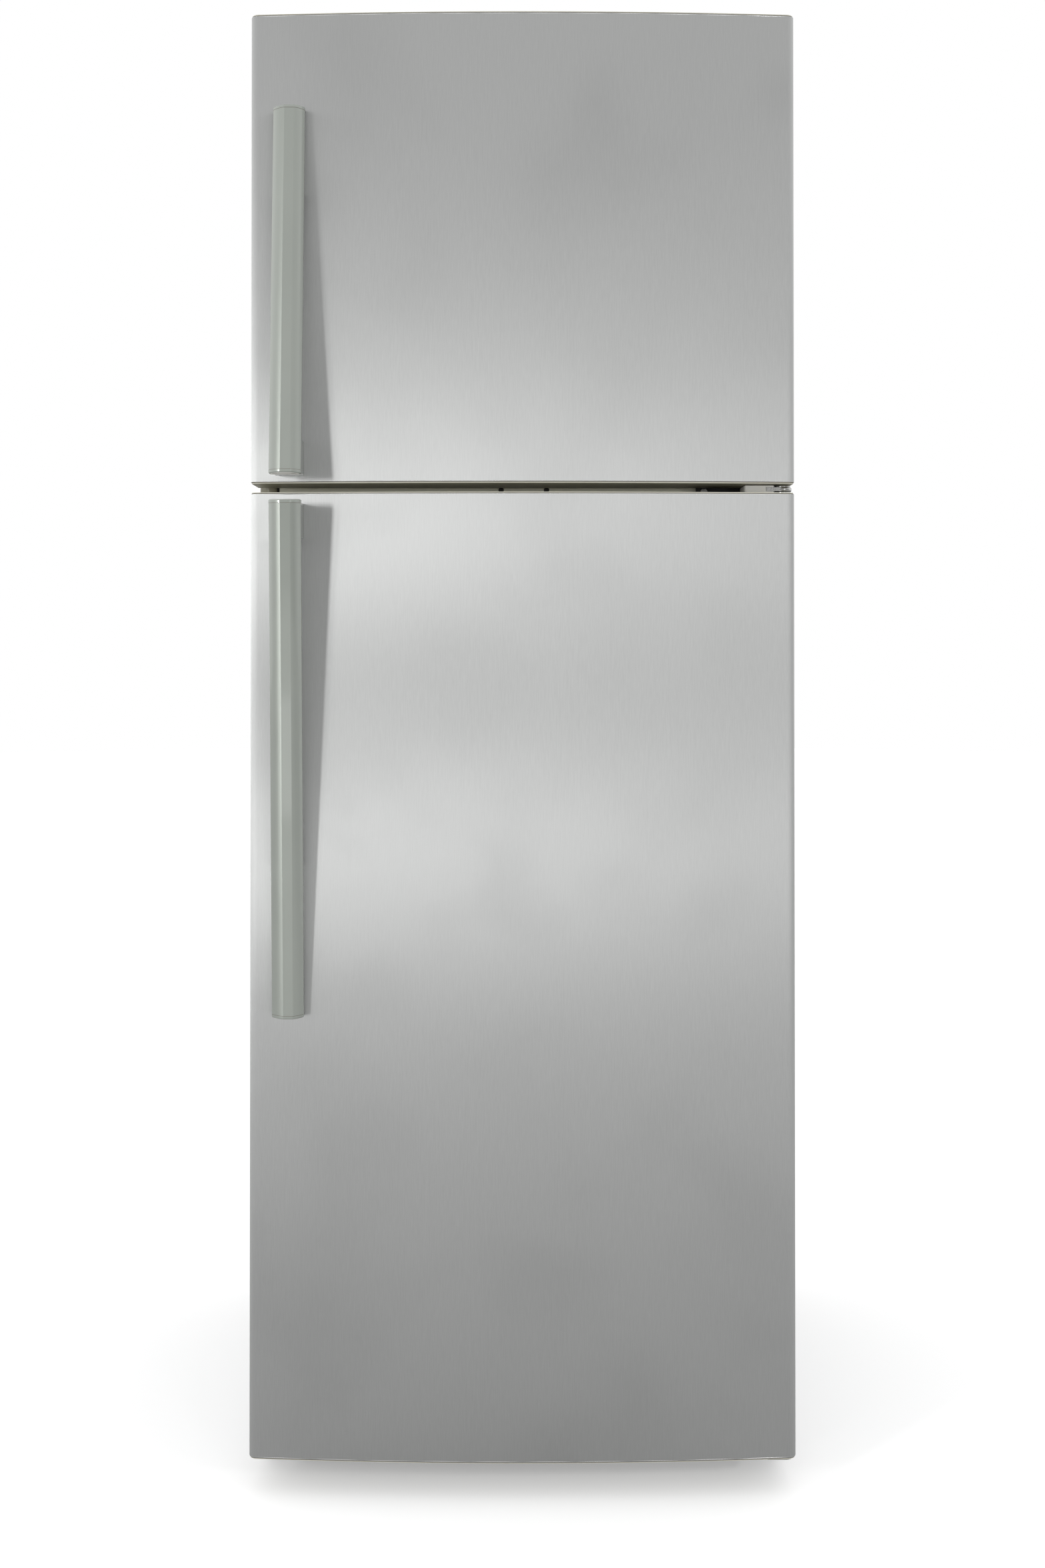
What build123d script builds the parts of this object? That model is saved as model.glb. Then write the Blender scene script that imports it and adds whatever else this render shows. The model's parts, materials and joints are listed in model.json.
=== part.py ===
"""A top-freezer fridge freezer with two bowed doors hinged on the right.

Sizes are in millimetres. X runs to the right as seen from the front, Y runs to the back
and Z runs up from the floor. The origin is on the floor, under the middle of the whole.
"""

import math
import os
from build123d import *

os.makedirs("parts", exist_ok=True)

# Doors
door_width = 670.0
door_edge_thickness = 60.0
door_bow = 12.5
door_corner = 10.0
door_bottom = 43.0
fridge_door_height = 1181.5
freezer_door_height = 578.0
door_gap = 11.0
door_overhang = 2.0
skin_gauge = 0.8
skin_return = 14.0
cap_lip = 2.0
cap_inset = 1.2
cap_depth = 26.0
cap_fit = 0.2
gasket_gap = 10.0
gasket_clear = 0.3
gasket_inset = 16.0
gasket_width = 18.0
gasket_corner = 8.0
gasket_steps = [(0.0, 0.25, 2.0), (0.25, 0.55, 5.0), (0.55, 1.0, 0.0)]
dyke_gap = 14.0
dyke_width = 26.0
dyke_depth = 45.0
dyke_round = 6.0
dyke_corner = 14.0
core_corner = 12.0
least_corner = 4.0
bin_depth = 98.0
bin_wall = 2.5
bin_fit = 0.5
bin_corner = 8.0
freezer_bin_shares = [0.075, 0.485]
freezer_bin_height = 92.0
fridge_bin_shares = [0.05, 0.30, 0.53, 0.75]
fridge_bin_height = 108.0

# Handles
handle_inset = 49.5
handle_width = 38.6
handle_depth = 18.0
handle_flat = 12.0
handle_flat_shift = 1.5
handle_bevel = 10.0
handle_crown = 1.4
handle_reach = 54.0
handle_low_reach = 20.0
handle_edge = 1.2
handle_foot_inset = 2.0
handle_foot_fit = 0.2
handle_foot_spare = 20.0
handle_cut_spare = 1.0
freezer_handle_length = 448.0
freezer_handle_rise = 9.5
freezer_foot_near = 41.0
freezer_foot_far = 103.0
fridge_handle_length = 624.0
fridge_handle_drop = 14.5
fridge_foot_near = 43.0
fridge_foot_far = 182.0

# Cabinet
cabinet_depth = 600.0
case_bottom = 30.0
case_over_door = 1.0
sheet = 1.0
base_sheet = 2.0
flange = 22.0
base_return = 22.0
side_wall = 52.0
top_wall = 55.0
back_wall = 62.0
floor_wall = 60.0
partition = 62.0
liner_gauge = 2.0
rail_depth = 3.0
rail_round = 1.0
machine_depth = 215.0
machine_height = 215.0
step_wall = 45.0
rib_width = 7.0
rib_height = 6.0
rib_start = 122.0
groove_count = 7
groove_inset = 30.0
groove_half = 4.0

# Hinges
pin_inset = 11.0
pin_setback = 26.0
pin_radius = 4.5
pin_clear = 0.05
pin_reach = 16.0
pin_end_clear = 1.5
pin_root = 1.0
eye_radius = 10.0
collar_radius = 8.5
collar_clear = 0.2
hinge_plate = 3.0
hinge_arm = 5.0
hinge_arm_width = 32.0
hinge_plate_reach = 104.0
hinge_plate_gap = 2.0
mid_plate_half = 16.0
mid_bolt_places = [10.0, 59.0]
low_plate_rise = 1.0
low_plate_height = 24.0
low_arm_gap = 4.0
low_bolt_rise = 14.0
low_bolt_places = [16.0, 52.0]
top_plate_gauge = 4.0
top_plate_reach = 74.0
top_plate_gap = 8.0
top_plate_setback = 8.0
top_plate_depth = 84.0
top_plate_corner = 4.0
top_arm_lap = 12.0
top_bolt_places = [(20.0, 34.0), (20.0, 74.0), (60.0, 74.0)]
bolt_radius = 3.0
bolt_clear = 0.1
bolt_head = 5.6
bolt_head_height = 4.0
hood_wall = 2.0
hood_height = 20.0
hood_crown = 6.0
hood_side = 8.0
hood_gap = 1.0
hood_setback = 3.0
hood_depth = 101.0
hood_round = 5.0
hood_slot = 12.0
hood_clear = 0.6
arm_cover_reach = 49.0
arm_cover_end = 12.0
arm_cover_gap = 0.8
arm_cover_setback = 2.0
arm_cover_round = 3.0

# Ground fittings
foot_inset = 48.0
foot_setback = 50.0
foot_stud = 5.0
foot_fit = 0.08
foot_pad = 20.0
foot_pad_height = 10.0
foot_hexagon = 10.0
foot_hexagon_height = 6.0
foot_round = 2.0
foot_top_gap = 1.0
nut_radius = 13.0
nut_height = 12.0
roller_radius = 13.0
roller_width = 22.0
roller_pin = 3.0
roller_inset = 60.0
roller_round = 2.0
ear = 2.5
ear_gap = 1.0
ear_half = 12.0
ear_drop = 7.0
bracket_plate = 2.0
bracket_half_depth = 24.0
kick_inset = 8.0
kick_setback = 8.0
kick_gauge = 3.0
kick_bottom = 7.0
kick_tab = 14.0
kick_tab_gauge = 2.0
kick_slots_each_side = 9
kick_slot_pitch = 24.0
kick_slot_half = 8.0
kick_slot_low = 13.0
kick_slot_high = 22.0

# Machine compartment
compressor_inset = 163.0
compressor_rear = 112.0
compressor_half_width = 95.0
compressor_half_depth = 72.0
compressor_round = 28.0
compressor_drop = 34.0
seam_out = 4.0
seam_height = 5.0
seam_rise = 6.0
mount_plate = 3.0
mount_half_width = 105.0
mount_half_depth = 76.0
terminal_start = 78.0
terminal_end = 112.0
terminal_half = 24.0
terminal_low = 46.0
terminal_high = 84.0
grommet_height = 12.0
grommet_radius = 11.0
grommet_bore = 4.0
grommet_across = 85.0
grommet_back = 62.0
drain_half_width = 118.0
drain_half_depth = 84.0
drain_height = 26.0
drain_wall = 2.0
drain_corner = 12.0
pipe = 6.0
pipe_lap = 1.0
pipe_bend = 14.0
bend_spare = 0.5
coil_rear = 60.0
coil_lead = 210.0
coil_inset = 43.0
coil_pitch = 30.0
coil_rows = 5
coil_rise = 28.0
coil_post_inset = 40.0
coil_post_half = 1.5
coil_post_half_depth = 16.0
coil_post_over = 18.0
coil_rod_inset = 30.0
line_lead = 50.0
line_start_gap = 0.5
drier_out = 6.0
drier_forward = 70.0
drier_radius = 9.0
drier_round = 5.0
drier_rise = 34.0
drier_drop = 40.0
drier_stem = 3.0
drier_stem_height = 40.0
drier_bend = 9.0
drier_lead = 20.0
louvre_rows = 4
louvres_each_side = 5
louvre_pitch = 54.0
louvre_half = 20.0
louvre_rise = 40.0
louvre_row_pitch = 36.0
louvre_height = 9.0

# Freezer fittings
cover_plate = 3.0
cover_standoff = 85.0
grille_rows = 5
grille_half = 70.0
grille_drop = 62.0
grille_pitch = 26.0
grille_height = 14.0
returns_each_side = 8
return_pitch = 30.0
return_half = 9.0
return_low = 8.0
return_high = 26.0
fan_drop = 105.0
fan_setback = 24.0
fan_radius = 62.0
fan_blades = 5
fan_blade_chord = 34.0
fan_blade_gauge = 1.8
fan_blade_tilt = 28.0
fan_blade_lap = 4.0
fan_floor_gap = 51.5
hub_radius = 18.0
hub_length = 20.0
hub_round = 4.0
shaft_radius = 3.0
shaft_front = 12.0
shaft_lap = 2.0
motor_gap = 14.0
motor_radius = 22.0
motor_round = 4.0
motor_plate = 4.0
motor_plate_half = 34.0
motor_plate_lap = 1.0
evaporator_setback = 46.0
evaporator_side_gap = 51.0
evaporator_rise = 40.0
evaporator_tube = 8.0
tube_rows = 6
tube_over = 12.0
fin_half = 24.0
fin_gauge = 1.0
fins_each_side = 11
fin_leg = 34.0
heater_drop = 20.0
heater_over = 8.0
heater_radius = 3.5
freezer_shelf_rise = 239.0
freezer_shelf_gap = 8.0

# Fridge fittings
shelf_setback = 105.0
shelf_rear_gap = 10.0
shelf_glass = 4.0
shelf_fit = 1.5
shelf_edge = 2.0
trim_depth = 14.0
trim_height = 14.0
trim_slot = 6.0
trim_round = 3.0
crisper_cover_rise = 10.0
lower_shelf_rise = 20.0
upper_shelf_shares = [0.316, 0.646]
slide_gap = 0.3
drawer_side_gap = 16.0
drawer_wall = 3.0
drawer_round = 14.0
drawer_front = 2.0
drawer_front_rise = 4.0
scoop_radius = 52.0
scoop_rise = 30.0
crisper_height = 195.0
crisper_rear_gap = 8.0
chill_height = 120.0
chill_rear_gap = 98.0
duct_depth = 30.0
duct_half = 62.0
duct_low_gap = 24.0
duct_high_gap = 44.0
duct_round = 8.0
duct_vents = 5
duct_vent_across = 30.0
duct_vent_half = 16.0
duct_vent_depth = 18.0
duct_vent_height = 10.0
lamp_drop = 36.0
lamp_setback = 8.0
lamp_depth = 150.0
lamp_half = 105.0
lamp_round = 8.0
lamp_roof = 8.0
lens_side = 14.0
lens_front = 44.0
lens_rear = 12.0
lens_gauge = 3.0
dial_x = 62.0
dial_radius = 15.0
dial_length = 13.0
dial_round = 2.0
dial_mark_half = 1.0
dial_mark_out = 1.0
dial_mark_in = 1.5
dial_mark_low = 3.0
dial_mark_high = 14.0
dial_shaft = 4.0
dial_shaft_lap = 2.0
dial_shaft_length = 20.0
dial_bore_spare = 2.0
switch_x = -72.0
switch_radius = 5.0
switch_round = 2.0
switch_drop = 8.0
switch_clear = 0.3
switch_fit = 0.1
switch_nose = 16.0
switch_length = 40.0
switch_press = 5.0
switch_spare = 1.0
switch_block_half = 14.0
switch_block_low = 10.0
switch_block_lap = 6.0

# Ice maker
ice_wall = 3.0
ice_side_gap = 6.0
ice_width = 262.0
ice_setback = 8.0
ice_depth = 226.0
ice_shelf_gap = 24.0
ice_box_wall = 2.5
ice_box_corner = 10.0
ice_box_gap = 1.5
ice_box_rear_gap = 6.0
ice_box_drop = 62.0
ice_wall_gap = 6.0
tray_half = 52.0
tray_height = 32.0
tray_corner = 6.0
tray_rim = 8.0
tray_wall = 3.0
tray_end_gap = 15.0
tray_drop = 58.0
tray_spread = 62.0
tray_shaft = 5.0
tray_shaft_lap = 2.0
tray_rear_gap = 0.5
tray_rows = 5
cell_border = 4.0
cell_wall = 3.0
cell_half = 22.0
knob_radius = 13.0
knob_length = 12.0
knob_fin_half = 4.0
knob_fin_length = 8.0
knob_fin_rise = 22.0

# Places that follow from the sizes above
handle_x = handle_inset - door_width / 2
bow_radius = ((door_width / 2) ** 2 + door_bow**2) / (2 * door_bow)
handle_setback = bow_radius - math.sqrt(bow_radius**2 - handle_x**2)
front_reach = gasket_gap + door_edge_thickness + door_bow - handle_setback + handle_reach
overall_depth = cabinet_depth + front_reach
cab_front = front_reach - overall_depth / 2
cab_back = overall_depth / 2
door_rear = cab_front - gasket_gap
door_edge = door_rear - door_edge_thickness
door_apex = door_edge - door_bow
bow_centre = door_apex + bow_radius
fridge_door_top = door_bottom + fridge_door_height
freezer_door_bottom = fridge_door_top + door_gap
freezer_door_top = freezer_door_bottom + freezer_door_height
case_top = freezer_door_top + case_over_door
case_half = door_width / 2 - door_overhang
sheet_half = case_half - sheet
flange_half = case_half - flange
rail_middle = (fridge_door_top + freezer_door_bottom) / 2
cavity_half = case_half - side_wall
cavity_back = cab_back - back_wall
freezer_floor = rail_middle + partition / 2
freezer_ceiling = case_top - top_wall
fridge_ceiling = rail_middle - partition / 2
fridge_floor = case_bottom + floor_wall
machine_front = cab_back - machine_depth
machine_top = case_bottom + machine_height
step_front = machine_front - step_wall
step_top = machine_top + step_wall
base_top = case_bottom + base_sheet
pin_x = door_width / 2 - pin_inset
pin_y = door_edge + pin_setback
fitting_front = cab_front + shelf_setback
dyke_half = cavity_half - dyke_gap
bin_half = dyke_half - dyke_width - bin_fit
freezer_inner = (freezer_floor + dyke_gap, freezer_ceiling - dyke_gap)
fridge_inner = (fridge_floor + dyke_gap, fridge_ceiling - dyke_gap)
foot_x = case_half - foot_inset
foot_y = cab_front + foot_setback
roller_y = cab_back - roller_inset
evaporator_front = cavity_back - cover_standoff
freezer_shelf_level = freezer_floor + freezer_shelf_rise
freezer_shelf_depth = evaporator_front - fitting_front - freezer_shelf_gap
fan_level = freezer_ceiling - fan_drop
fan_y = evaporator_front + fan_setback
shelf_half = cavity_half - shelf_fit
shelf_depth = cavity_back - duct_depth - shelf_rear_gap - fitting_front
crisper_cover_level = step_top + crisper_cover_rise
lower_shelf_level = crisper_cover_level + chill_height + lower_shelf_rise
shelf_room = fridge_ceiling - lower_shelf_level
fridge_shelf_levels = [lower_shelf_level + share * shelf_room for share in [0.0] + upper_shelf_shares]
drawer_half = cavity_half - drawer_side_gap
crisper_bottom = fridge_floor + slide_gap
crisper_rear = step_front - crisper_rear_gap
chill_bottom = crisper_cover_level + shelf_glass + slide_gap
chill_rear = fitting_front + shelf_depth - chill_rear_gap
lamp_level = fridge_ceiling - lamp_drop
lamp_front = fitting_front + lamp_setback
dial_level = (lamp_level + fridge_ceiling) / 2
switch_level = fridge_ceiling - dyke_gap - switch_drop
switch_tip = door_rear + dyke_depth + switch_clear
ice_left = -cavity_half + ice_side_gap
ice_right = ice_left + ice_width
ice_front = fitting_front + ice_setback
ice_rear = ice_front + ice_depth
ice_top = freezer_shelf_level - ice_shelf_gap
tray_level = ice_top - tray_drop
tray_middle = (ice_left + ice_right) / 2
tray_front = ice_front + tray_end_gap
tray_rear = ice_rear - tray_end_gap
ice_box_top = tray_level - ice_box_drop
freezer_grip_near = freezer_door_bottom + freezer_handle_rise
freezer_grip_far = freezer_grip_near + freezer_handle_length
fridge_grip_near = fridge_door_top - fridge_handle_drop
fridge_grip_far = fridge_grip_near - fridge_handle_length


def block(x0, x1, y0, y1, z0, z1, mode=Mode.ADD):
    """A box between two corners, added to or taken from the part being built."""
    with Locations(((x0 + x1) / 2, (y0 + y1) / 2, (z0 + z1) / 2)):
        Box(x1 - x0, y1 - y0, z1 - z0, mode=mode)


def post(x, y, z0, z1, radius, mode=Mode.ADD):
    """An upright cylinder between two levels."""
    with Locations((x, y, (z0 + z1) / 2)):
        Cylinder(radius, z1 - z0, mode=mode)


def rod_y(x, z, y0, y1, radius, mode=Mode.ADD):
    """A cylinder running front to back."""
    with Locations((x, (y0 + y1) / 2, z)):
        Cylinder(radius, y1 - y0, rotation=(90, 0, 0), mode=mode)


def rod_x(y, z, x0, x1, radius, mode=Mode.ADD):
    """A cylinder running left to right."""
    with Locations(((x0 + x1) / 2, y, z)):
        Cylinder(radius, x1 - x0, rotation=(0, 90, 0), mode=mode)


def facing(y):
    """An upright plane facing the front, at a place from front to back."""
    return Plane.XZ.offset(-y)


def save(part, name):
    """Names a finished part and writes it out."""
    part.label = name
    export_step(part, "parts/" + name + ".step")


def swept_tube(route, bend, diameter):
    """A round tube along straight runs joined by bends."""
    with BuildPart() as tube:
        with BuildLine() as path:
            FilletPolyline(*route, radius=bend)
        with BuildSketch(Plane(origin=path.line @ 0, z_dir=path.line % 0)):
            Circle(diameter / 2)
        sweep()
    return tube.part


def folded_route(left, right, y, levels):
    """The corner points of a tube running to and fro across the part, one run at each level."""
    route = []
    for step, level in enumerate(levels):
        ends = [left, right]
        if step % 2:
            ends.reverse()
        route.extend([(x, y, level) for x in ends])
    return route


def open_box(x0, x1, y0, y1, z0, z1, wall, corner):
    """A moulded box with rounded uprights and an open top."""
    with BuildPart() as box:
        with BuildSketch(Plane.XY.offset(z0)):
            with Locations(((x0 + x1) / 2, (y0 + y1) / 2)):
                RectangleRounded(x1 - x0, y1 - y0, corner)
        extrude(amount=z1 - z0)
        with BuildSketch(Plane.XY.offset(z0 + wall)):
            with Locations(((x0 + x1) / 2, (y0 + y1) / 2)):
                RectangleRounded(x1 - x0 - 2 * wall, y1 - y0 - 2 * wall, corner - wall)
        extrude(amount=z1 - z0 - wall, mode=Mode.SUBTRACT)
    return box.part


# Cabinet shell

with BuildPart() as side_panels:
    for left, right in ((-case_half, -sheet_half), (sheet_half, case_half)):
        block(left, right, cab_front + sheet, cab_back, case_bottom, case_top - sheet)
save(side_panels.part, "side_panels")

with BuildPart() as top_panel:
    block(-case_half, case_half, cab_front + sheet, cab_back, case_top - sheet, case_top)
save(top_panel.part, "top_panel")

with BuildPart() as case_flange:
    block(-case_half, case_half, cab_front, cab_front + sheet, case_bottom, case_top)
    block(
        -flange_half, flange_half, cab_front, cab_front + sheet,
        case_bottom, case_top - flange, Mode.SUBTRACT,
    )
save(case_flange.part, "case_flange")

groove_pitch = (case_top - machine_top) / (groove_count + 1)
groove_end = sheet_half - groove_inset

with BuildPart() as back_panel:
    block(-sheet_half, sheet_half, cab_back - sheet, cab_back, machine_top, case_top - sheet)
    for rise in range(groove_count):
        level = machine_top + groove_pitch * (rise + 1)
        block(
            -groove_end, groove_end, cab_back - sheet / 2, cab_back,
            level - groove_half, level + groove_half, Mode.SUBTRACT,
        )
save(back_panel.part, "back_panel")

nut_bottom = case_bottom - nut_height
bracket_half = roller_width / 2 + ear_gap + ear
bracket_bottom = case_bottom - bracket_plate

with BuildPart() as base_pan:
    block(-sheet_half, sheet_half, cab_front + base_sheet, cab_back - sheet, case_bottom, base_top)
    block(-flange_half, flange_half, cab_front, cab_front + base_sheet, case_bottom, case_bottom + base_return)
    block(-sheet_half, sheet_half, machine_front - sheet, machine_front, base_top, machine_top)
    block(-sheet_half, sheet_half, machine_front - sheet, cab_back - sheet, machine_top - sheet, machine_top)
    for middle in (-foot_x, foot_x):
        post(middle, foot_y, nut_bottom, case_bottom, nut_radius)
        post(middle, foot_y, nut_bottom, case_bottom, foot_stud + foot_fit, Mode.SUBTRACT)
        block(
            middle - bracket_half, middle + bracket_half,
            roller_y - bracket_half_depth, roller_y + bracket_half_depth,
            bracket_bottom, case_bottom,
        )
        for inner in (middle - bracket_half + ear / 2, middle + bracket_half - ear / 2):
            block(
                inner - ear / 2, inner + ear / 2, roller_y - ear_half, roller_y + ear_half,
                roller_radius - ear_drop, bracket_bottom,
            )
        rod_x(roller_y, roller_radius, middle - bracket_half, middle + bracket_half, roller_pin)
save(base_pan.part, "base_pan")

hollow = cavity_half + liner_gauge
hollow_back = cavity_back + liner_gauge

with BuildPart() as cabinet_foam:
    block(-sheet_half, sheet_half, cab_front + rail_depth, cab_back - sheet, base_top, case_top - sheet)
    block(
        -hollow, hollow, cab_front, hollow_back,
        freezer_floor - liner_gauge, freezer_ceiling + liner_gauge, Mode.SUBTRACT,
    )
    block(
        -hollow, hollow, cab_front, hollow_back,
        step_top - liner_gauge, fridge_ceiling + liner_gauge, Mode.SUBTRACT,
    )
    block(
        -hollow, hollow, cab_front, step_front + liner_gauge,
        fridge_floor - liner_gauge, step_top, Mode.SUBTRACT,
    )
    block(-case_half, case_half, machine_front - sheet, cab_back, case_bottom, machine_top, Mode.SUBTRACT)
save(cabinet_foam.part, "cabinet_foam")


def shelf_ribs(level, depth):
    """The pair of ledges formed in a liner's side walls, which a shelf of that depth rests on."""
    start = cab_front + rib_start
    end = fitting_front + depth
    block(-cavity_half, -cavity_half + rib_width, start, end, level - rib_height, level)
    block(cavity_half - rib_width, cavity_half, start, end, level - rib_height, level)


with BuildPart() as freezer_liner:
    block(
        -hollow, hollow, cab_front, hollow_back,
        freezer_floor - liner_gauge, freezer_ceiling + liner_gauge,
    )
    block(-flange_half, flange_half, cab_front, cab_front + liner_gauge, freezer_floor, case_top - flange)
    block(-cavity_half, cavity_half, cab_front, cavity_back, freezer_floor, freezer_ceiling, Mode.SUBTRACT)
    shelf_ribs(freezer_shelf_level, freezer_shelf_depth)
save(freezer_liner.part, "freezer_liner")

with BuildPart() as fridge_liner:
    block(-hollow, hollow, cab_front, hollow_back, step_top - liner_gauge, fridge_ceiling + liner_gauge)
    block(-hollow, hollow, cab_front, step_front + liner_gauge, fridge_floor - liner_gauge, step_top)
    block(
        -flange_half, flange_half, cab_front, cab_front + liner_gauge,
        case_bottom + base_return, fridge_ceiling,
    )
    block(-cavity_half, cavity_half, cab_front, cavity_back, step_top, fridge_ceiling, Mode.SUBTRACT)
    block(-cavity_half, cavity_half, cab_front, step_front, fridge_floor, step_top, Mode.SUBTRACT)
    for level in [crisper_cover_level] + fridge_shelf_levels:
        shelf_ribs(level, shelf_depth)
save(fridge_liner.part, "fridge_liner")

with BuildPart() as mid_rail:
    block(
        -flange_half, flange_half, cab_front, cab_front + rail_depth,
        fridge_ceiling + liner_gauge, freezer_floor - liner_gauge,
    )
    fillet(mid_rail.faces().sort_by(Axis.Y)[0].edges(), rail_round)
save(mid_rail.part, "mid_rail")

# Hinges and their covers

bolt_hole = bolt_radius + bolt_clear
plate_left = pin_x - hinge_plate_reach
plate_right = case_half - hinge_plate_gap
plate_front = cab_front - hinge_plate
mid_bolts = [plate_left + place for place in mid_bolt_places]
low_bolts = [plate_left + place for place in low_bolt_places]
top_plate_left = pin_x - top_plate_reach
top_plate_right = case_half - top_plate_gap
top_plate_top = case_top + top_plate_gauge
top_bolts = [(top_plate_left + across, cab_front + back) for across, back in top_bolt_places]
low_plate_bottom = case_bottom + low_plate_rise
low_arm_top = door_bottom - low_arm_gap
low_bolt_level = low_plate_bottom + low_bolt_rise


def hinge_arm_plan(rear):
    """A flat arm running forward to an eye around the hinge line."""
    with BuildSketch() as plan:
        with Locations((pin_x + eye_radius - hinge_arm_width / 2, (pin_y + rear) / 2)):
            Rectangle(hinge_arm_width, rear - pin_y)
        with Locations((pin_x - (hinge_arm_width - eye_radius) / 2, pin_y - eye_radius / 2)):
            Rectangle(hinge_arm_width - eye_radius, eye_radius)
        with Locations((pin_x, pin_y)):
            Circle(eye_radius)
    return plan.sketch


with BuildPart() as top_hinge:
    with BuildSketch(Plane.XY.offset(case_top)):
        add(hinge_arm_plan(cab_front + top_arm_lap))
        middle = (top_plate_left + top_plate_right) / 2
        with Locations((middle, cab_front + top_plate_setback + top_plate_depth / 2)):
            RectangleRounded(top_plate_right - top_plate_left, top_plate_depth, top_plate_corner)
    extrude(amount=top_plate_gauge)
    post(pin_x, pin_y, freezer_door_top - pin_reach, case_top + pin_root, pin_radius)
    for across, back in top_bolts:
        post(across, back, case_top, top_plate_top, bolt_hole, Mode.SUBTRACT)
save(top_hinge.part, "top_hinge")

with BuildPart() as mid_hinge:
    block(
        plate_left, plate_right, plate_front, cab_front,
        rail_middle - mid_plate_half, rail_middle + mid_plate_half,
    )
    with BuildSketch(Plane.XY.offset(rail_middle - hinge_arm / 2)):
        add(hinge_arm_plan(cab_front - hinge_plate / 2))
    extrude(amount=hinge_arm)
    post(pin_x, pin_y, fridge_door_top - pin_reach, freezer_door_bottom + pin_reach, pin_radius)
    post(pin_x, pin_y, fridge_door_top + collar_clear, freezer_door_bottom - collar_clear, collar_radius)
    for across in mid_bolts:
        rod_y(across, rail_middle, plate_front, cab_front, bolt_hole, Mode.SUBTRACT)
save(mid_hinge.part, "mid_hinge")

with BuildPart() as bottom_hinge:
    block(
        plate_left, plate_right, plate_front, cab_front,
        low_plate_bottom, low_plate_bottom + low_plate_height,
    )
    with BuildSketch(Plane.XY.offset(low_arm_top - hinge_arm)):
        add(hinge_arm_plan(cab_front - hinge_plate / 2))
    extrude(amount=hinge_arm)
    post(pin_x, pin_y, low_arm_top - hinge_arm / 2, door_bottom + pin_reach, pin_radius)
    post(pin_x, pin_y, low_arm_top - pin_root, door_bottom - collar_clear, collar_radius)
    for across in low_bolts:
        rod_y(across, low_bolt_level, plate_front, cab_front, bolt_hole, Mode.SUBTRACT)
save(bottom_hinge.part, "bottom_hinge")


def front_bolt(x, z):
    """A hexagon bolt through a hinge plate on the cabinet's front."""
    rod_y(x, z, plate_front, cab_front, bolt_radius)
    with BuildSketch(facing(plate_front)) as head:
        with Locations((x, z)):
            RegularPolygon(bolt_head, 6)
    extrude(to_extrude=head.sketch, amount=bolt_head_height)


with BuildPart() as hinge_bolts:
    for across in mid_bolts:
        front_bolt(across, rail_middle)
    for across in low_bolts:
        front_bolt(across, low_bolt_level)
    for across, back in top_bolts:
        post(across, back, case_top, top_plate_top, bolt_radius)
        with BuildSketch(Plane.XY.offset(top_plate_top)):
            with Locations((across, back)):
                RegularPolygon(bolt_head, 6)
        extrude(amount=bolt_head_height)
save(hinge_bolts.part, "hinge_bolts")

hood_left = top_plate_left - hood_side
hood_right = case_half - hood_gap
hood_front = cab_front + hood_setback
hood_rear = hood_front + hood_depth
hood_top = case_top + hood_height

with BuildPart() as top_hinge_cover:
    block(hood_left, hood_right, hood_front, hood_rear, case_top, hood_top)
    crown = top_hinge_cover.faces().sort_by(Axis.Z)[-1]
    fillet(crown.edges() + top_hinge_cover.edges().filter_by(Axis.Z), hood_round)
    block(
        hood_left + hood_wall, hood_right - hood_wall, hood_front + hood_wall, hood_rear - hood_wall,
        case_top, hood_top - hood_crown, Mode.SUBTRACT,
    )
    block(
        pin_x - hinge_arm_width, case_half, hood_front, hood_front + hood_slot,
        case_top, top_plate_top + hood_clear, Mode.SUBTRACT,
    )
save(top_hinge_cover.part, "top_hinge_cover")

with BuildPart() as mid_hinge_cover:
    block(
        pin_x - arm_cover_reach, pin_x - arm_cover_end,
        pin_y - eye_radius, plate_front - bolt_head_height - arm_cover_setback,
        fridge_door_top + arm_cover_gap, freezer_door_bottom - arm_cover_gap,
    )
    fillet(mid_hinge_cover.edges().filter_by(Axis.Z), arm_cover_round)
    block(
        pin_x + eye_radius - hinge_arm_width - cap_fit, pin_x, pin_y - eye_radius, cab_front,
        rail_middle - hinge_arm / 2, rail_middle + hinge_arm / 2, Mode.SUBTRACT,
    )
    post(
        pin_x, pin_y, fridge_door_top, freezer_door_bottom,
        collar_radius + arm_cover_setback, Mode.SUBTRACT,
    )
save(mid_hinge_cover.part, "mid_hinge_cover")

# Ground fittings

kick_half = sheet_half - kick_inset
kick_front = cab_front + kick_setback
kick_rear = kick_front + kick_gauge

with BuildPart() as kick_plate:
    block(-kick_half, kick_half, kick_front, kick_rear, kick_bottom, case_bottom)
    block(-kick_half, kick_half, kick_front, kick_front + kick_tab, case_bottom - kick_tab_gauge, case_bottom)
    for step in range(-kick_slots_each_side, kick_slots_each_side + 1):
        middle = step * kick_slot_pitch
        block(
            middle - kick_slot_half, middle + kick_slot_half, kick_front, kick_rear,
            kick_slot_low, kick_slot_high, Mode.SUBTRACT,
        )
save(kick_plate.part, "kick_plate")

for middle, name in ((-foot_x, "foot_left"), (foot_x, "foot_right")):
    with BuildPart() as foot:
        post(middle, foot_y, 0.0, foot_pad_height, foot_pad)
        fillet(foot.edges().sort_by(Axis.Z)[-1], foot_round)
        with BuildSketch(Plane.XY.offset(foot_pad_height)):
            with Locations((middle, foot_y)):
                RegularPolygon(foot_hexagon, 6)
        extrude(amount=foot_hexagon_height)
        post(middle, foot_y, foot_pad_height + foot_hexagon_height, case_bottom - foot_top_gap, foot_stud)
    save(foot.part, name)

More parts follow.
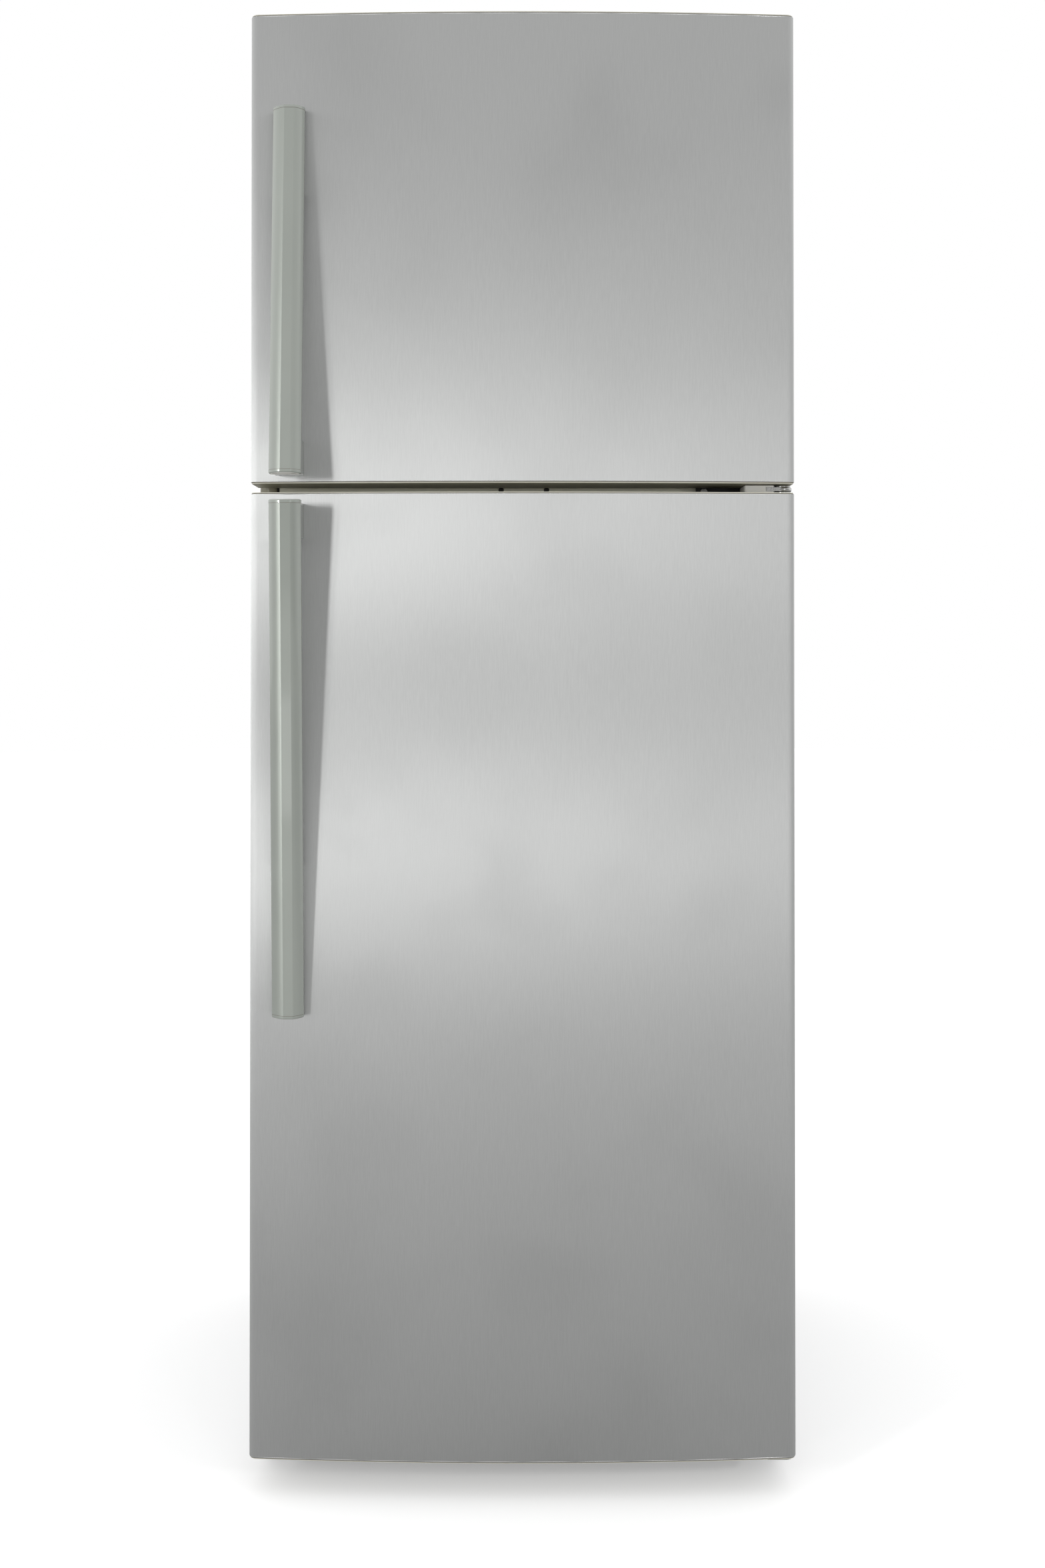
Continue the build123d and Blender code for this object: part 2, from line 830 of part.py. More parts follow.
for middle, name in ((-foot_x, "roller_left"), (foot_x, "roller_right")):
    ends = (middle - roller_width / 2, middle + roller_width / 2)
    with BuildPart() as roller:
        rod_x(roller_y, roller_radius, *ends, roller_radius)
        fillet(roller.edges().filter_by(GeomType.CIRCLE), roller_round)
        rod_x(roller_y, roller_radius, *ends, roller_pin + pin_clear, Mode.SUBTRACT)
    save(roller.part, name)

# Machine compartment

compressor_x = compressor_inset - case_half
compressor_y = cab_back - compressor_rear
mount_level = base_top + grommet_height
compressor_foot = mount_level + mount_plate
compressor_top = machine_top - compressor_drop
seam_level = (mount_level + compressor_top) / 2 + seam_rise
terminal_level = mount_level + (terminal_low + terminal_high) / 2
coil_y = cab_back - coil_rear
coil_left = compressor_x + coil_lead
coil_right = case_half - coil_inset
coil_levels = [base_top + coil_rise + coil_pitch * step for step in range(coil_rows)]
line_level = coil_levels[-1]
line_x = coil_left - line_lead
drier_x = coil_right + drier_out
drier_y = coil_y - drier_forward

with BuildPart() as compressor_grommets:
    for x in (compressor_x - grommet_across, compressor_x + grommet_across):
        for y in (compressor_y - grommet_back, compressor_y + grommet_back):
            post(x, y, base_top, mount_level, grommet_radius)
            post(x, y, base_top, mount_level, grommet_bore, Mode.SUBTRACT)
save(compressor_grommets.part, "compressor_grommets")

with BuildPart() as compressor:
    with BuildSketch(Plane.XY.offset(compressor_foot)):
        with Locations((compressor_x, compressor_y)):
            Ellipse(compressor_half_width, compressor_half_depth)
    extrude(amount=compressor_top - compressor_foot)
    fillet(compressor.edges().filter_by(GeomType.ELLIPSE), compressor_round)
    with BuildSketch(Plane.XY.offset(seam_level)):
        with Locations((compressor_x, compressor_y)):
            Ellipse(compressor_half_width + seam_out, compressor_half_depth + seam_out)
    extrude(amount=seam_height)
    block(
        compressor_x - mount_half_width, compressor_x + mount_half_width,
        compressor_y - mount_half_depth, compressor_y + mount_half_depth,
        mount_level, compressor_foot,
    )
    block(
        compressor_x + terminal_start, compressor_x + terminal_end,
        compressor_y - terminal_half, compressor_y + terminal_half,
        mount_level + terminal_low, mount_level + terminal_high,
    )
save(compressor.part, "compressor")

save(
    open_box(
        compressor_x - drain_half_width, compressor_x + drain_half_width,
        compressor_y - drain_half_depth, compressor_y + drain_half_depth,
        compressor_top + slide_gap, compressor_top + drain_height, drain_wall, drain_corner,
    ),
    "drain_pan",
)

with BuildPart() as filter_drier:
    post(drier_x, drier_y, base_top + drier_rise, line_level - drier_drop, drier_radius)
    fillet(filter_drier.edges().filter_by(GeomType.CIRCLE), drier_round)
    post(drier_x, drier_y, base_top, base_top + drier_stem_height, drier_stem)

hot_line = [
    (compressor_x + terminal_end + line_start_gap, compressor_y, terminal_level),
    (line_x, compressor_y, terminal_level),
    (line_x, compressor_y, coil_levels[0]),
    (line_x, coil_y, coil_levels[0]),
    (coil_left + pipe_lap, coil_y, coil_levels[0]),
]
drier_line = [
    (coil_right - pipe_lap, coil_y, line_level),
    (drier_x + drier_lead, coil_y, line_level),
    (drier_x + drier_lead, drier_y, line_level),
    (drier_x, drier_y, line_level),
    (drier_x, drier_y, line_level - drier_drop - pipe_lap),
]

with BuildPart() as condenser:
    add(filter_drier.part)
    add(swept_tube(folded_route(coil_left, coil_right, coil_y, coil_levels), coil_pitch / 2 - bend_spare, pipe))
    for x in (coil_left + coil_post_inset, coil_right - coil_post_inset):
        block(
            x - coil_post_half, x + coil_post_half,
            coil_y - coil_post_half_depth, coil_y + coil_post_half_depth,
            base_top, line_level + coil_post_over,
        )
    for level in coil_levels:
        rod_x(coil_y, level, coil_left + coil_rod_inset, coil_right - coil_rod_inset, pipe / 2)
    add(swept_tube(hot_line, pipe_bend, pipe))
    add(swept_tube(drier_line, drier_bend, pipe))
save(condenser.part, "condenser")

with BuildPart() as machine_cover:
    block(-sheet_half, sheet_half, cab_back - sheet, cab_back, base_top, machine_top)
    for row in range(louvre_rows):
        low = base_top + louvre_rise + row * louvre_row_pitch
        for column in range(-louvres_each_side, louvres_each_side + 1):
            middle = column * louvre_pitch
            block(
                middle - louvre_half, middle + louvre_half, cab_back - sheet, cab_back,
                low, low + louvre_height, Mode.SUBTRACT,
            )
save(machine_cover.part, "machine_cover")

# Freezer cooling parts

evaporator_half = cavity_half - evaporator_side_gap
evaporator_y = evaporator_front + evaporator_setback
evaporator_low = freezer_floor + evaporator_rise
evaporator_high = fan_level - fan_radius - fan_floor_gap
tube_pitch = (evaporator_high - evaporator_low) / tube_rows
tube_levels = [evaporator_low + tube_pitch * (step + 0.5) for step in range(tube_rows)]
tube_end = evaporator_half + tube_over
fin_pitch = evaporator_half / fins_each_side
cover_rear = evaporator_front + cover_plate

with BuildPart() as evaporator_cover:
    block(-cavity_half, cavity_half, evaporator_front, cover_rear, freezer_floor, freezer_ceiling)
    for row in range(grille_rows):
        low = fan_level - grille_drop + row * grille_pitch
        block(
            -grille_half, grille_half, evaporator_front, cover_rear,
            low, low + grille_height, Mode.SUBTRACT,
        )
    for column in range(-returns_each_side, returns_each_side + 1):
        middle = column * return_pitch
        block(
            middle - return_half, middle + return_half, evaporator_front, cover_rear,
            freezer_floor + return_low, freezer_floor + return_high, Mode.SUBTRACT,
        )
save(evaporator_cover.part, "evaporator_cover")

with BuildPart() as evaporator:
    for step in range(-fins_each_side, fins_each_side + 1):
        x = step * fin_pitch
        rear = evaporator_y + fin_half
        low = evaporator_low
        if abs(step) == fins_each_side:
            rear = cavity_back
            low = evaporator_low - fin_leg
        block(x - fin_gauge / 2, x + fin_gauge / 2, evaporator_y - fin_half, rear, low, evaporator_high)
    add(
        swept_tube(
            folded_route(-tube_end, tube_end, evaporator_y, tube_levels),
            tube_pitch / 2 - bend_spare, evaporator_tube,
        )
    )
    heater_end = evaporator_half + heater_over
    rod_x(evaporator_y, evaporator_low - heater_drop, -heater_end, heater_end, heater_radius)
save(evaporator.part, "evaporator")

motor_front = fan_y + motor_gap
motor_plate_front = cavity_back - motor_plate

with BuildPart() as fan_motor:
    rod_y(0.0, fan_level, motor_front, motor_plate_front + motor_plate_lap, motor_radius)
    fillet(fan_motor.edges().filter_by(GeomType.CIRCLE).sort_by(Axis.Y)[0], motor_round)
    block(
        -motor_plate_half, motor_plate_half, motor_plate_front, cavity_back,
        fan_level - motor_plate_half, fan_level + motor_plate_half,
    )
    rod_y(0.0, fan_level, fan_y - shaft_front, motor_front + shaft_lap, shaft_radius)
save(fan_motor.part, "fan_motor")

fan_place = Plane(origin=(0.0, fan_y, fan_level), x_dir=(1, 0, 0), z_dir=(0, -1, 0))
blade_length = fan_radius - hub_radius + fan_blade_lap

with BuildPart(fan_place) as evaporator_fan:
    Cylinder(hub_radius, hub_length)
    fillet(evaporator_fan.edges().sort_by(Axis.Y)[0], hub_round)
    with PolarLocations(fan_radius - blade_length / 2, fan_blades):
        Box(blade_length, fan_blade_chord, fan_blade_gauge, rotation=(fan_blade_tilt, 0, 0))
    Cylinder(shaft_radius + pin_clear, 2 * hub_length, mode=Mode.SUBTRACT)
save(evaporator_fan.part, "evaporator_fan")

# Fridge fittings

duct_front = cavity_back - duct_depth
duct_low = lower_shelf_level + duct_low_gap
duct_high = fridge_ceiling - duct_high_gap

with BuildPart() as air_duct:
    block(-duct_half, duct_half, duct_front, cavity_back, duct_low, duct_high)
    fillet(air_duct.faces().sort_by(Axis.Y)[0].edges(), duct_round)
    for step in range(duct_vents):
        level = duct_low + (duct_high - duct_low) * (step + 1) / (duct_vents + 1)
        for middle in (-duct_vent_across, duct_vent_across):
            block(
                middle - duct_vent_half, middle + duct_vent_half, duct_front, duct_front + duct_vent_depth,
                level, level + duct_vent_height, Mode.SUBTRACT,
            )
save(air_duct.part, "air_duct")

lamp_rear = lamp_front + lamp_depth
lens_half = lamp_half - lens_side
lens_start = lamp_front + lens_front
lens_end = lamp_rear - lens_rear
switch_front = switch_tip + switch_nose
switch_bore_end = switch_tip + switch_length + switch_press + switch_spare

with BuildPart() as lamp_housing:
    block(-lamp_half, lamp_half, lamp_front, lamp_rear, lamp_level, fridge_ceiling)
    fillet(lamp_housing.edges().filter_by(Axis.Z), lamp_round)
    block(
        switch_x - switch_block_half, switch_x + switch_block_half,
        switch_front, lamp_front + switch_block_lap,
        switch_level - switch_block_low, fridge_ceiling,
    )
    block(
        -lens_half, lens_half, lens_start, lens_end,
        lamp_level, fridge_ceiling - lamp_roof, Mode.SUBTRACT,
    )
    rod_y(
        dial_x, dial_level, lamp_front, lamp_front + dial_shaft_length + dial_bore_spare,
        dial_shaft + pin_clear, Mode.SUBTRACT,
    )
    rod_y(
        switch_x, switch_level, switch_front, switch_bore_end,
        switch_radius + switch_fit, Mode.SUBTRACT,
    )
save(lamp_housing.part, "lamp_housing")

with BuildPart() as lamp_lens:
    block(-lens_half, lens_half, lens_start, lens_end, lamp_level, lamp_level + lens_gauge)
save(lamp_lens.part, "lamp_lens")

dial_front = lamp_front - dial_length

with BuildPart() as temperature_dial:
    rod_y(dial_x, dial_level, dial_front, lamp_front - slide_gap, dial_radius)
    fillet(temperature_dial.edges().filter_by(GeomType.CIRCLE).sort_by(Axis.Y)[0], dial_round)
    block(
        dial_x - dial_mark_half, dial_x + dial_mark_half, dial_front - dial_mark_out, dial_front + dial_mark_in,
        dial_level + dial_mark_low, dial_level + dial_mark_high,
    )
    rod_y(dial_x, dial_level, lamp_front - dial_shaft_lap, lamp_front + dial_shaft_length, dial_shaft)
save(temperature_dial.part, "temperature_dial")

with BuildPart() as light_switch:
    rod_y(switch_x, switch_level, switch_tip, switch_tip + switch_length, switch_radius)
    fillet(light_switch.edges().sort_by(Axis.Y)[0], switch_round)
save(light_switch.part, "light_switch")

glass_half = shelf_half - shelf_edge
glass_front = fitting_front + trim_slot


def shelf(level, depth):
    """A glass shelf lying on the liner's ledges, its front edge inside the trim."""
    with BuildPart() as glass:
        block(-glass_half, glass_half, glass_front, fitting_front + depth, level, level + shelf_glass)
    return glass.part


def shelf_trim(level):
    """The moulded strip along a shelf's front edge, level with the glass on top."""
    with BuildPart() as strip:
        block(
            -shelf_half, shelf_half, fitting_front, fitting_front + trim_depth,
            level + shelf_glass - trim_height, level + shelf_glass,
        )
        fillet(strip.faces().sort_by(Axis.Y)[0].edges().filter_by(Axis.X), trim_round)
        block(
            -glass_half, glass_half, glass_front, fitting_front + trim_depth,
            level, level + shelf_glass, Mode.SUBTRACT,
        )
    return strip.part


with BuildPart() as fridge_shelves:
    for level in fridge_shelf_levels:
        add(shelf(level, shelf_depth))
save(fridge_shelves.part, "fridge_shelves")
save(shelf(crisper_cover_level, shelf_depth), "crisper_cover")
save(shelf(freezer_shelf_level, freezer_shelf_depth), "freezer_shelf")

with BuildPart() as shelf_trims:
    for level in [crisper_cover_level, freezer_shelf_level] + fridge_shelf_levels:
        add(shelf_trim(level))
save(shelf_trims.part, "shelf_trims")


def drawer(rear, bottom, height):
    """A clear drawer with a moulded front and a finger scoop in its upper edge."""
    top = bottom + height
    front_rear = fitting_front + drawer_front + drawer_wall
    with BuildPart() as tub:
        add(
            open_box(
                -drawer_half, drawer_half, fitting_front + drawer_front, rear,
                bottom, top, drawer_wall, drawer_round,
            )
        )
        block(-drawer_half, drawer_half, fitting_front, front_rear, bottom + drawer_front_rise, top)
        rod_y(0.0, top + scoop_rise, fitting_front, front_rear, scoop_radius, Mode.SUBTRACT)
    return tub.part


save(drawer(crisper_rear, crisper_bottom, crisper_height), "crisper_drawer")
save(drawer(chill_rear, chill_bottom, chill_height), "chill_drawer")

# Ice maker

with BuildPart() as ice_maker_frame:
    for x in (ice_left, ice_right - ice_wall):
        block(x, x + ice_wall, ice_front, ice_rear, freezer_floor, ice_top)
    for y in (ice_front, ice_rear - ice_wall):
        block(ice_left, ice_right, y, y + ice_wall, ice_box_top + ice_wall_gap, ice_top)
    for middle in (tray_middle - tray_spread, tray_middle + tray_spread):
        rod_y(middle, tray_level, ice_front, ice_rear, tray_shaft + pin_clear, Mode.SUBTRACT)
save(ice_maker_frame.part, "ice_maker_frame")

tray_bottom = tray_level - tray_height / 2
tray_top = tray_level + tray_height / 2
cell_pitch = (tray_rear - tray_front - 2 * cell_border) / tray_rows
knob_front = ice_front - knob_length

for side, name in ((-1, "ice_tray_left"), (1, "ice_tray_right")):
    middle = tray_middle + side * tray_spread
    with BuildPart() as tray:
        block(middle - tray_half, middle + tray_half, tray_front, tray_rear, tray_bottom, tray_top)
        fillet(tray.edges().filter_by(Axis.Z), tray_corner)
        for row in range(tray_rows):
            cell_y = tray_front + cell_border + row * cell_pitch
            for cell_x in (middle - tray_half / 2, middle + tray_half / 2):
                block(
                    cell_x - cell_half, cell_x + cell_half,
                    cell_y + cell_wall / 2, cell_y + cell_pitch - cell_wall / 2,
                    tray_bottom + tray_wall, tray_top, Mode.SUBTRACT,
                )
        block(
            middle - tray_half + tray_wall, middle + tray_half - tray_wall,
            tray_front + tray_wall, tray_rear - tray_wall,
            tray_top - tray_rim, tray_top, Mode.SUBTRACT,
        )
        rod_y(middle, tray_level, ice_front - slide_gap, tray_front + tray_shaft_lap, tray_shaft)
        rod_y(middle, tray_level, tray_rear - tray_shaft_lap, ice_rear - tray_rear_gap, tray_shaft)
        rod_y(middle, tray_level, knob_front, ice_front - slide_gap, knob_radius)
        block(
            middle - knob_fin_half, middle + knob_fin_half, knob_front, knob_front + knob_fin_length,
            tray_level, tray_level + knob_radius + knob_fin_rise,
        )
    save(tray.part, name)

ice_box_left = ice_left + ice_wall + ice_box_gap
ice_box_right = ice_right - ice_wall - ice_box_gap

save(
    open_box(
        ice_box_left, ice_box_right, ice_front, ice_rear - ice_box_rear_gap,
        freezer_floor + slide_gap, ice_box_top, ice_box_wall, ice_box_corner,
    ),
    "ice_box",
)

# Doors


def bow_front(x, inset):
    """Y of the door's bowed front, or of a curve set in behind it, at a place across the door."""
    return bow_centre - math.sqrt((bow_radius - inset) ** 2 - x**2)


def door_plan(inset, rear):
    """The door seen from above: a bowed front with rounded corners and a flat rear."""
    half = door_width / 2 - inset
    side = bow_front(half, inset)
    with BuildSketch() as plan:
        with BuildLine():
            Polyline((-half, side), (-half, rear), (half, rear), (half, side))
            ThreePointArc((half, side), (0.0, door_apex + inset), (-half, side))
        make_face()
        fillet(plan.vertices().sort_by(Axis.Y)[:2], door_corner - inset)
    return plan.sketch


def ring(half, low, high, width, corner):
    """An upright rectangular ring with rounded corners, as a sketch on a front-facing plane."""
    inner_corner = max(corner - width, least_corner)
    with BuildSketch() as frame:
        with Locations((0.0, (low + high) / 2)):
            RectangleRounded(2 * half, high - low, corner)
            RectangleRounded(2 * half - 2 * width, high - low - 2 * width, inner_corner, mode=Mode.SUBTRACT)
    return frame.sketch


def dyke_core(inner_low, inner_high):
    """The hollow inside the dyke's ring, which the foam fills."""
    return ring(
        dyke_half - liner_gauge, inner_low + liner_gauge, inner_high - liner_gauge,
        dyke_width - 2 * liner_gauge, core_corner,
    )


def door_skin(low, high):
    """The folded steel sheet: bowed front, both sides and a return at each rear edge."""
    open_half = door_width / 2 - skin_return
    with BuildPart() as skin:
        with BuildSketch(Plane.XY.offset(low + cap_lip)):
            add(door_plan(0.0, door_rear))
            add(door_plan(skin_gauge, door_rear - skin_gauge), mode=Mode.SUBTRACT)
            with Locations((0.0, door_rear)):
                Rectangle(2 * open_half, 4 * skin_gauge, mode=Mode.SUBTRACT)
        extrude(amount=high - low - 2 * cap_lip)
    return skin.part


def door_caps(low, high):
    """The moulded caps closing the door's two ends, each bored for its hinge pin."""
    plug_rear = door_rear - liner_gauge - cap_fit
    with BuildPart() as caps:
        for level, turn in ((low, 1), (high, -1)):
            with BuildSketch(Plane.XY.offset(level)):
                add(door_plan(cap_inset, door_rear))
            extrude(amount=turn * cap_lip)
            with BuildSketch(Plane.XY.offset(level + turn * cap_lip)):
                add(door_plan(skin_gauge + cap_fit, plug_rear))
            extrude(amount=turn * (cap_depth - cap_lip))
            ends = sorted((level, level + turn * (pin_reach + pin_end_clear)))
            post(pin_x, pin_y, *ends, pin_radius + pin_clear, Mode.SUBTRACT)
    return caps.part


def door_foam(low, high, inner_low, inner_high):
    """The foam filling between skin, caps and inner liner, running into the liner's dyke."""
    with BuildPart() as filling:
        with BuildSketch(Plane.XY.offset(low + cap_depth)):
            add(door_plan(skin_gauge, door_rear - liner_gauge))
        extrude(amount=high - low - 2 * cap_depth)
        with BuildSketch(facing(door_rear - liner_gauge)):
            add(dyke_core(inner_low, inner_high))
        extrude(amount=-dyke_depth)
    return filling.part


def door_liner(low, high, inner_low, inner_high):
    """The formed inner liner: a flat plate with a raised dyke around the storage."""
    half = door_width / 2 - skin_return - cap_fit
    with BuildPart() as liner:
        with BuildSketch(facing(door_rear)):
            add(ring(dyke_half, inner_low, inner_high, dyke_width, dyke_corner))
        extrude(amount=-dyke_depth)
        fillet(liner.faces().sort_by(Axis.Y)[-1].edges(), dyke_round)
        block(-half, half, door_rear - liner_gauge, door_rear, low + cap_lip, high - cap_lip)
        with BuildSketch(facing(door_rear - liner_gauge)):
            add(dyke_core(inner_low, inner_high))
        extrude(amount=-dyke_depth, mode=Mode.SUBTRACT)
    return liner.part


def door_gasket(low, high):
    """The magnetic seal around the door's rear: a foot, a bellows and a magnet tube."""
    depth = gasket_gap - gasket_clear
    half = door_width / 2 - gasket_inset
    with BuildPart() as seal:
        for start, end, inset in gasket_steps:
            with BuildSketch(facing(door_rear + start * depth)):
                add(
                    ring(
                        half - inset, low + gasket_inset + inset, high - gasket_inset - inset,
                        gasket_width - 2 * inset, gasket_corner,
                    )
                )
            extrude(amount=-(end - start) * depth)
    return seal.part


def door_bins(inner_low, inner_high, shares, height):
    """The open bins held between the dyke's uprights."""
    with BuildPart() as bins:
        for share in shares:
            floor_level = inner_low + share * (inner_high - inner_low) + dyke_width
            add(
                open_box(
                    -bin_half, bin_half, door_rear + cap_fit, door_rear + bin_depth,
                    floor_level, floor_level + height, bin_wall, bin_corner,
                )
            )
    return bins.part


handle_surface = bow_front(handle_x, 0.0)
face_far = handle_surface - handle_low_reach
face_near = handle_surface - handle_reach


def slant(near, far):
    """Draws the section sketched at the grip's far end out along its slope to its near end."""
    slope = (0.0, face_near - face_far, near - far)
    extrude(amount=math.hypot(slope[1], slope[2]), dir=slope)


def handle_bar(near, far):
    """The slanting grip, a flat facet between two crowned ones, standing off most at its end near the gap."""
    left = handle_x - handle_width / 2
    right = handle_x + handle_width / 2
    flat_left = handle_x + handle_flat_shift - handle_flat / 2
    flat_right = flat_left + handle_flat
    shoulder = face_far + handle_bevel
    rear = face_far + handle_depth
    with BuildPart() as bar:
        with BuildSketch(Plane.XY.offset(far)) as section:
            with BuildLine():
                Line((flat_left, face_far), (flat_right, face_far))
                SagittaArc((flat_right, face_far), (right, shoulder), -handle_crown)
                Polyline((right, shoulder), (right, rear), (left, rear), (left, shoulder))
                SagittaArc((left, shoulder), (flat_left, face_far), -handle_crown)
            make_face()
            fillet(section.vertices(), handle_edge)
        slant(near, far)
    return bar.part


def handle_feet(near, far, near_length, far_length):
    """The two brackets carrying the grip, shaped to the door's bow."""
    half = handle_width / 2 - handle_foot_inset
    turn = 1.0 if near > far else -1.0
    low = min(near, far)
    high = max(near, far)
    reach = handle_reach + handle_foot_spare
    with BuildPart() as feet:
        with BuildSketch(Plane.XY.offset(far)):
            with Locations((handle_x, face_far + handle_depth + reach / 2)):
                Rectangle(2 * half, reach)
        slant(near, far)
        with BuildSketch(Plane.XY.offset(low - handle_cut_spare)):
            add(door_plan(-handle_foot_fit, cab_front))
        extrude(amount=high - low + 2 * handle_cut_spare, mode=Mode.SUBTRACT)
        gap_ends = sorted((near - turn * near_length, far + turn * far_length))
        block(
            handle_x - handle_width, handle_x + handle_width, handle_surface - 2 * handle_reach, cab_front,
            *gap_ends, Mode.SUBTRACT,
        )
    return feet.part


freezer_ends = (freezer_door_bottom, freezer_door_top)
freezer_grip = (freezer_grip_near, freezer_grip_far)
fridge_ends = (door_bottom, fridge_door_top)
fridge_grip = (fridge_grip_near, fridge_grip_far)

save(door_skin(*freezer_ends), "freezer_door_skin")
save(door_caps(*freezer_ends), "freezer_door_caps")
save(door_foam(*freezer_ends, *freezer_inner), "freezer_door_foam")
save(door_liner(*freezer_ends, *freezer_inner), "freezer_door_liner")
save(door_gasket(*freezer_ends), "freezer_door_gasket")
save(door_bins(*freezer_inner, freezer_bin_shares, freezer_bin_height), "freezer_door_bins")
save(handle_bar(*freezer_grip), "freezer_handle")
save(handle_feet(*freezer_grip, freezer_foot_near, freezer_foot_far), "freezer_handle_feet")

save(door_skin(*fridge_ends), "fridge_door_skin")
save(door_caps(*fridge_ends), "fridge_door_caps")
save(door_foam(*fridge_ends, *fridge_inner), "fridge_door_foam")
save(door_liner(*fridge_ends, *fridge_inner), "fridge_door_liner")
save(door_gasket(*fridge_ends), "fridge_door_gasket")
save(door_bins(*fridge_inner, fridge_bin_shares, fridge_bin_height), "fridge_door_bins")
save(handle_bar(*fridge_grip), "fridge_handle")
save(handle_feet(*fridge_grip, fridge_foot_near, fridge_foot_far), "fridge_handle_feet")
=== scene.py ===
"""Dresses a top-freezer fridge freezer: finishes, small fittings, studio and camera.

Lengths are in metres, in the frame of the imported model: X runs to the right as seen from the
front, Y runs to the back and Z runs up from the floor.
"""

import json
import logging
import math
from dataclasses import dataclass
from enum import Enum
from typing import ClassVar, Sequence

import bmesh
import bpy
from mathutils import Matrix, Vector


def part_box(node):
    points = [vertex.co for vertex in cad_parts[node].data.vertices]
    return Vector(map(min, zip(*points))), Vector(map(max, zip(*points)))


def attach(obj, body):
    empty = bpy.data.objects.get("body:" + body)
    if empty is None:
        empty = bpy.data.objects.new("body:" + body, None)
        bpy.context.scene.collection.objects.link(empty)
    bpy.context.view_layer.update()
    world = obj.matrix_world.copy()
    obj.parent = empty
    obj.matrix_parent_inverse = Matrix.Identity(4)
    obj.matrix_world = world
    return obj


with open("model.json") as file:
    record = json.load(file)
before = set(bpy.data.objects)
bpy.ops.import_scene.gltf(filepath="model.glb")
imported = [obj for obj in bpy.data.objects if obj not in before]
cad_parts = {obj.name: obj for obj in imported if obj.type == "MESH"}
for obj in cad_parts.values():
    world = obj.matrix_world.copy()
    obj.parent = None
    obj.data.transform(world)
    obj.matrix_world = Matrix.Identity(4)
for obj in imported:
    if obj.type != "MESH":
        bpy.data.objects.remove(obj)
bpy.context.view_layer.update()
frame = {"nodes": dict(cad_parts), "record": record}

Colour = tuple[float, float, float]
Plan = tuple[float, float]
Names = tuple[str, ...]
Mesh = bmesh.types.BMesh
Node = bpy.types.Node
Socket = bpy.types.NodeSocket
Value = Socket | Sequence[float] | float
Feeds = dict[int | str, Value]

LOG = logging.getLogger("fridge_freezer")
SLOTS: dict[str, str] = {row["node"]: row["material_slot"] for row in frame["record"]["subparts"]}
MM = 0.001
UP = Vector((0.0, 0.0, 1.0))
FORWARD = Vector((0.0, -1.0, 0.0))
WHITE: Colour = (1.0, 1.0, 1.0)

# How a screen's values run against the light that they stand for.
SCREEN_FULL = 255
SCREEN_KNEE = 0.04045
SCREEN_SLOPE = 12.92
SCREEN_LIFT = 0.055
SCREEN_POWER = 2.4

# The range in which a noise pattern lies nearly everywhere.
NOISE_SPAN: Plan = (0.3, 0.7)

# Points that lie closer than this count as one.
SAME_PLACE = 0.01 * MM

# How edges are rounded for the looks, and where shading breaks.
FLAT_ANGLE = math.radians(0.5)
ROUND_ANGLE = math.radians(50)
ROUND_SEGMENTS = 2
BAR_SEGMENTS = 3
ROUND_PROFILE = 0.5
SHARP_ANGLE = math.radians(40)


def linear(share: float) -> float:
    """Turns a share of a screen's full value into the light that it stands for."""
    curved = ((share + SCREEN_LIFT) / (1 + SCREEN_LIFT)) ** SCREEN_POWER
    return share / SCREEN_SLOPE if share <= SCREEN_KNEE else curved


def shown(red: float, green: float, blue: float) -> Colour:
    """Turns a colour as it is seen on a screen, 0 to 255, into the linear values of a shader."""
    return (linear(red / SCREEN_FULL), linear(green / SCREEN_FULL), linear(blue / SCREEN_FULL))


def toned(colour: Colour, factor: float = 1.0) -> tuple[float, float, float, float]:
    """Returns a colour made lighter or darker by a factor, with full opacity."""
    return (colour[0] * factor, colour[1] * factor, colour[2] * factor, 1.0)


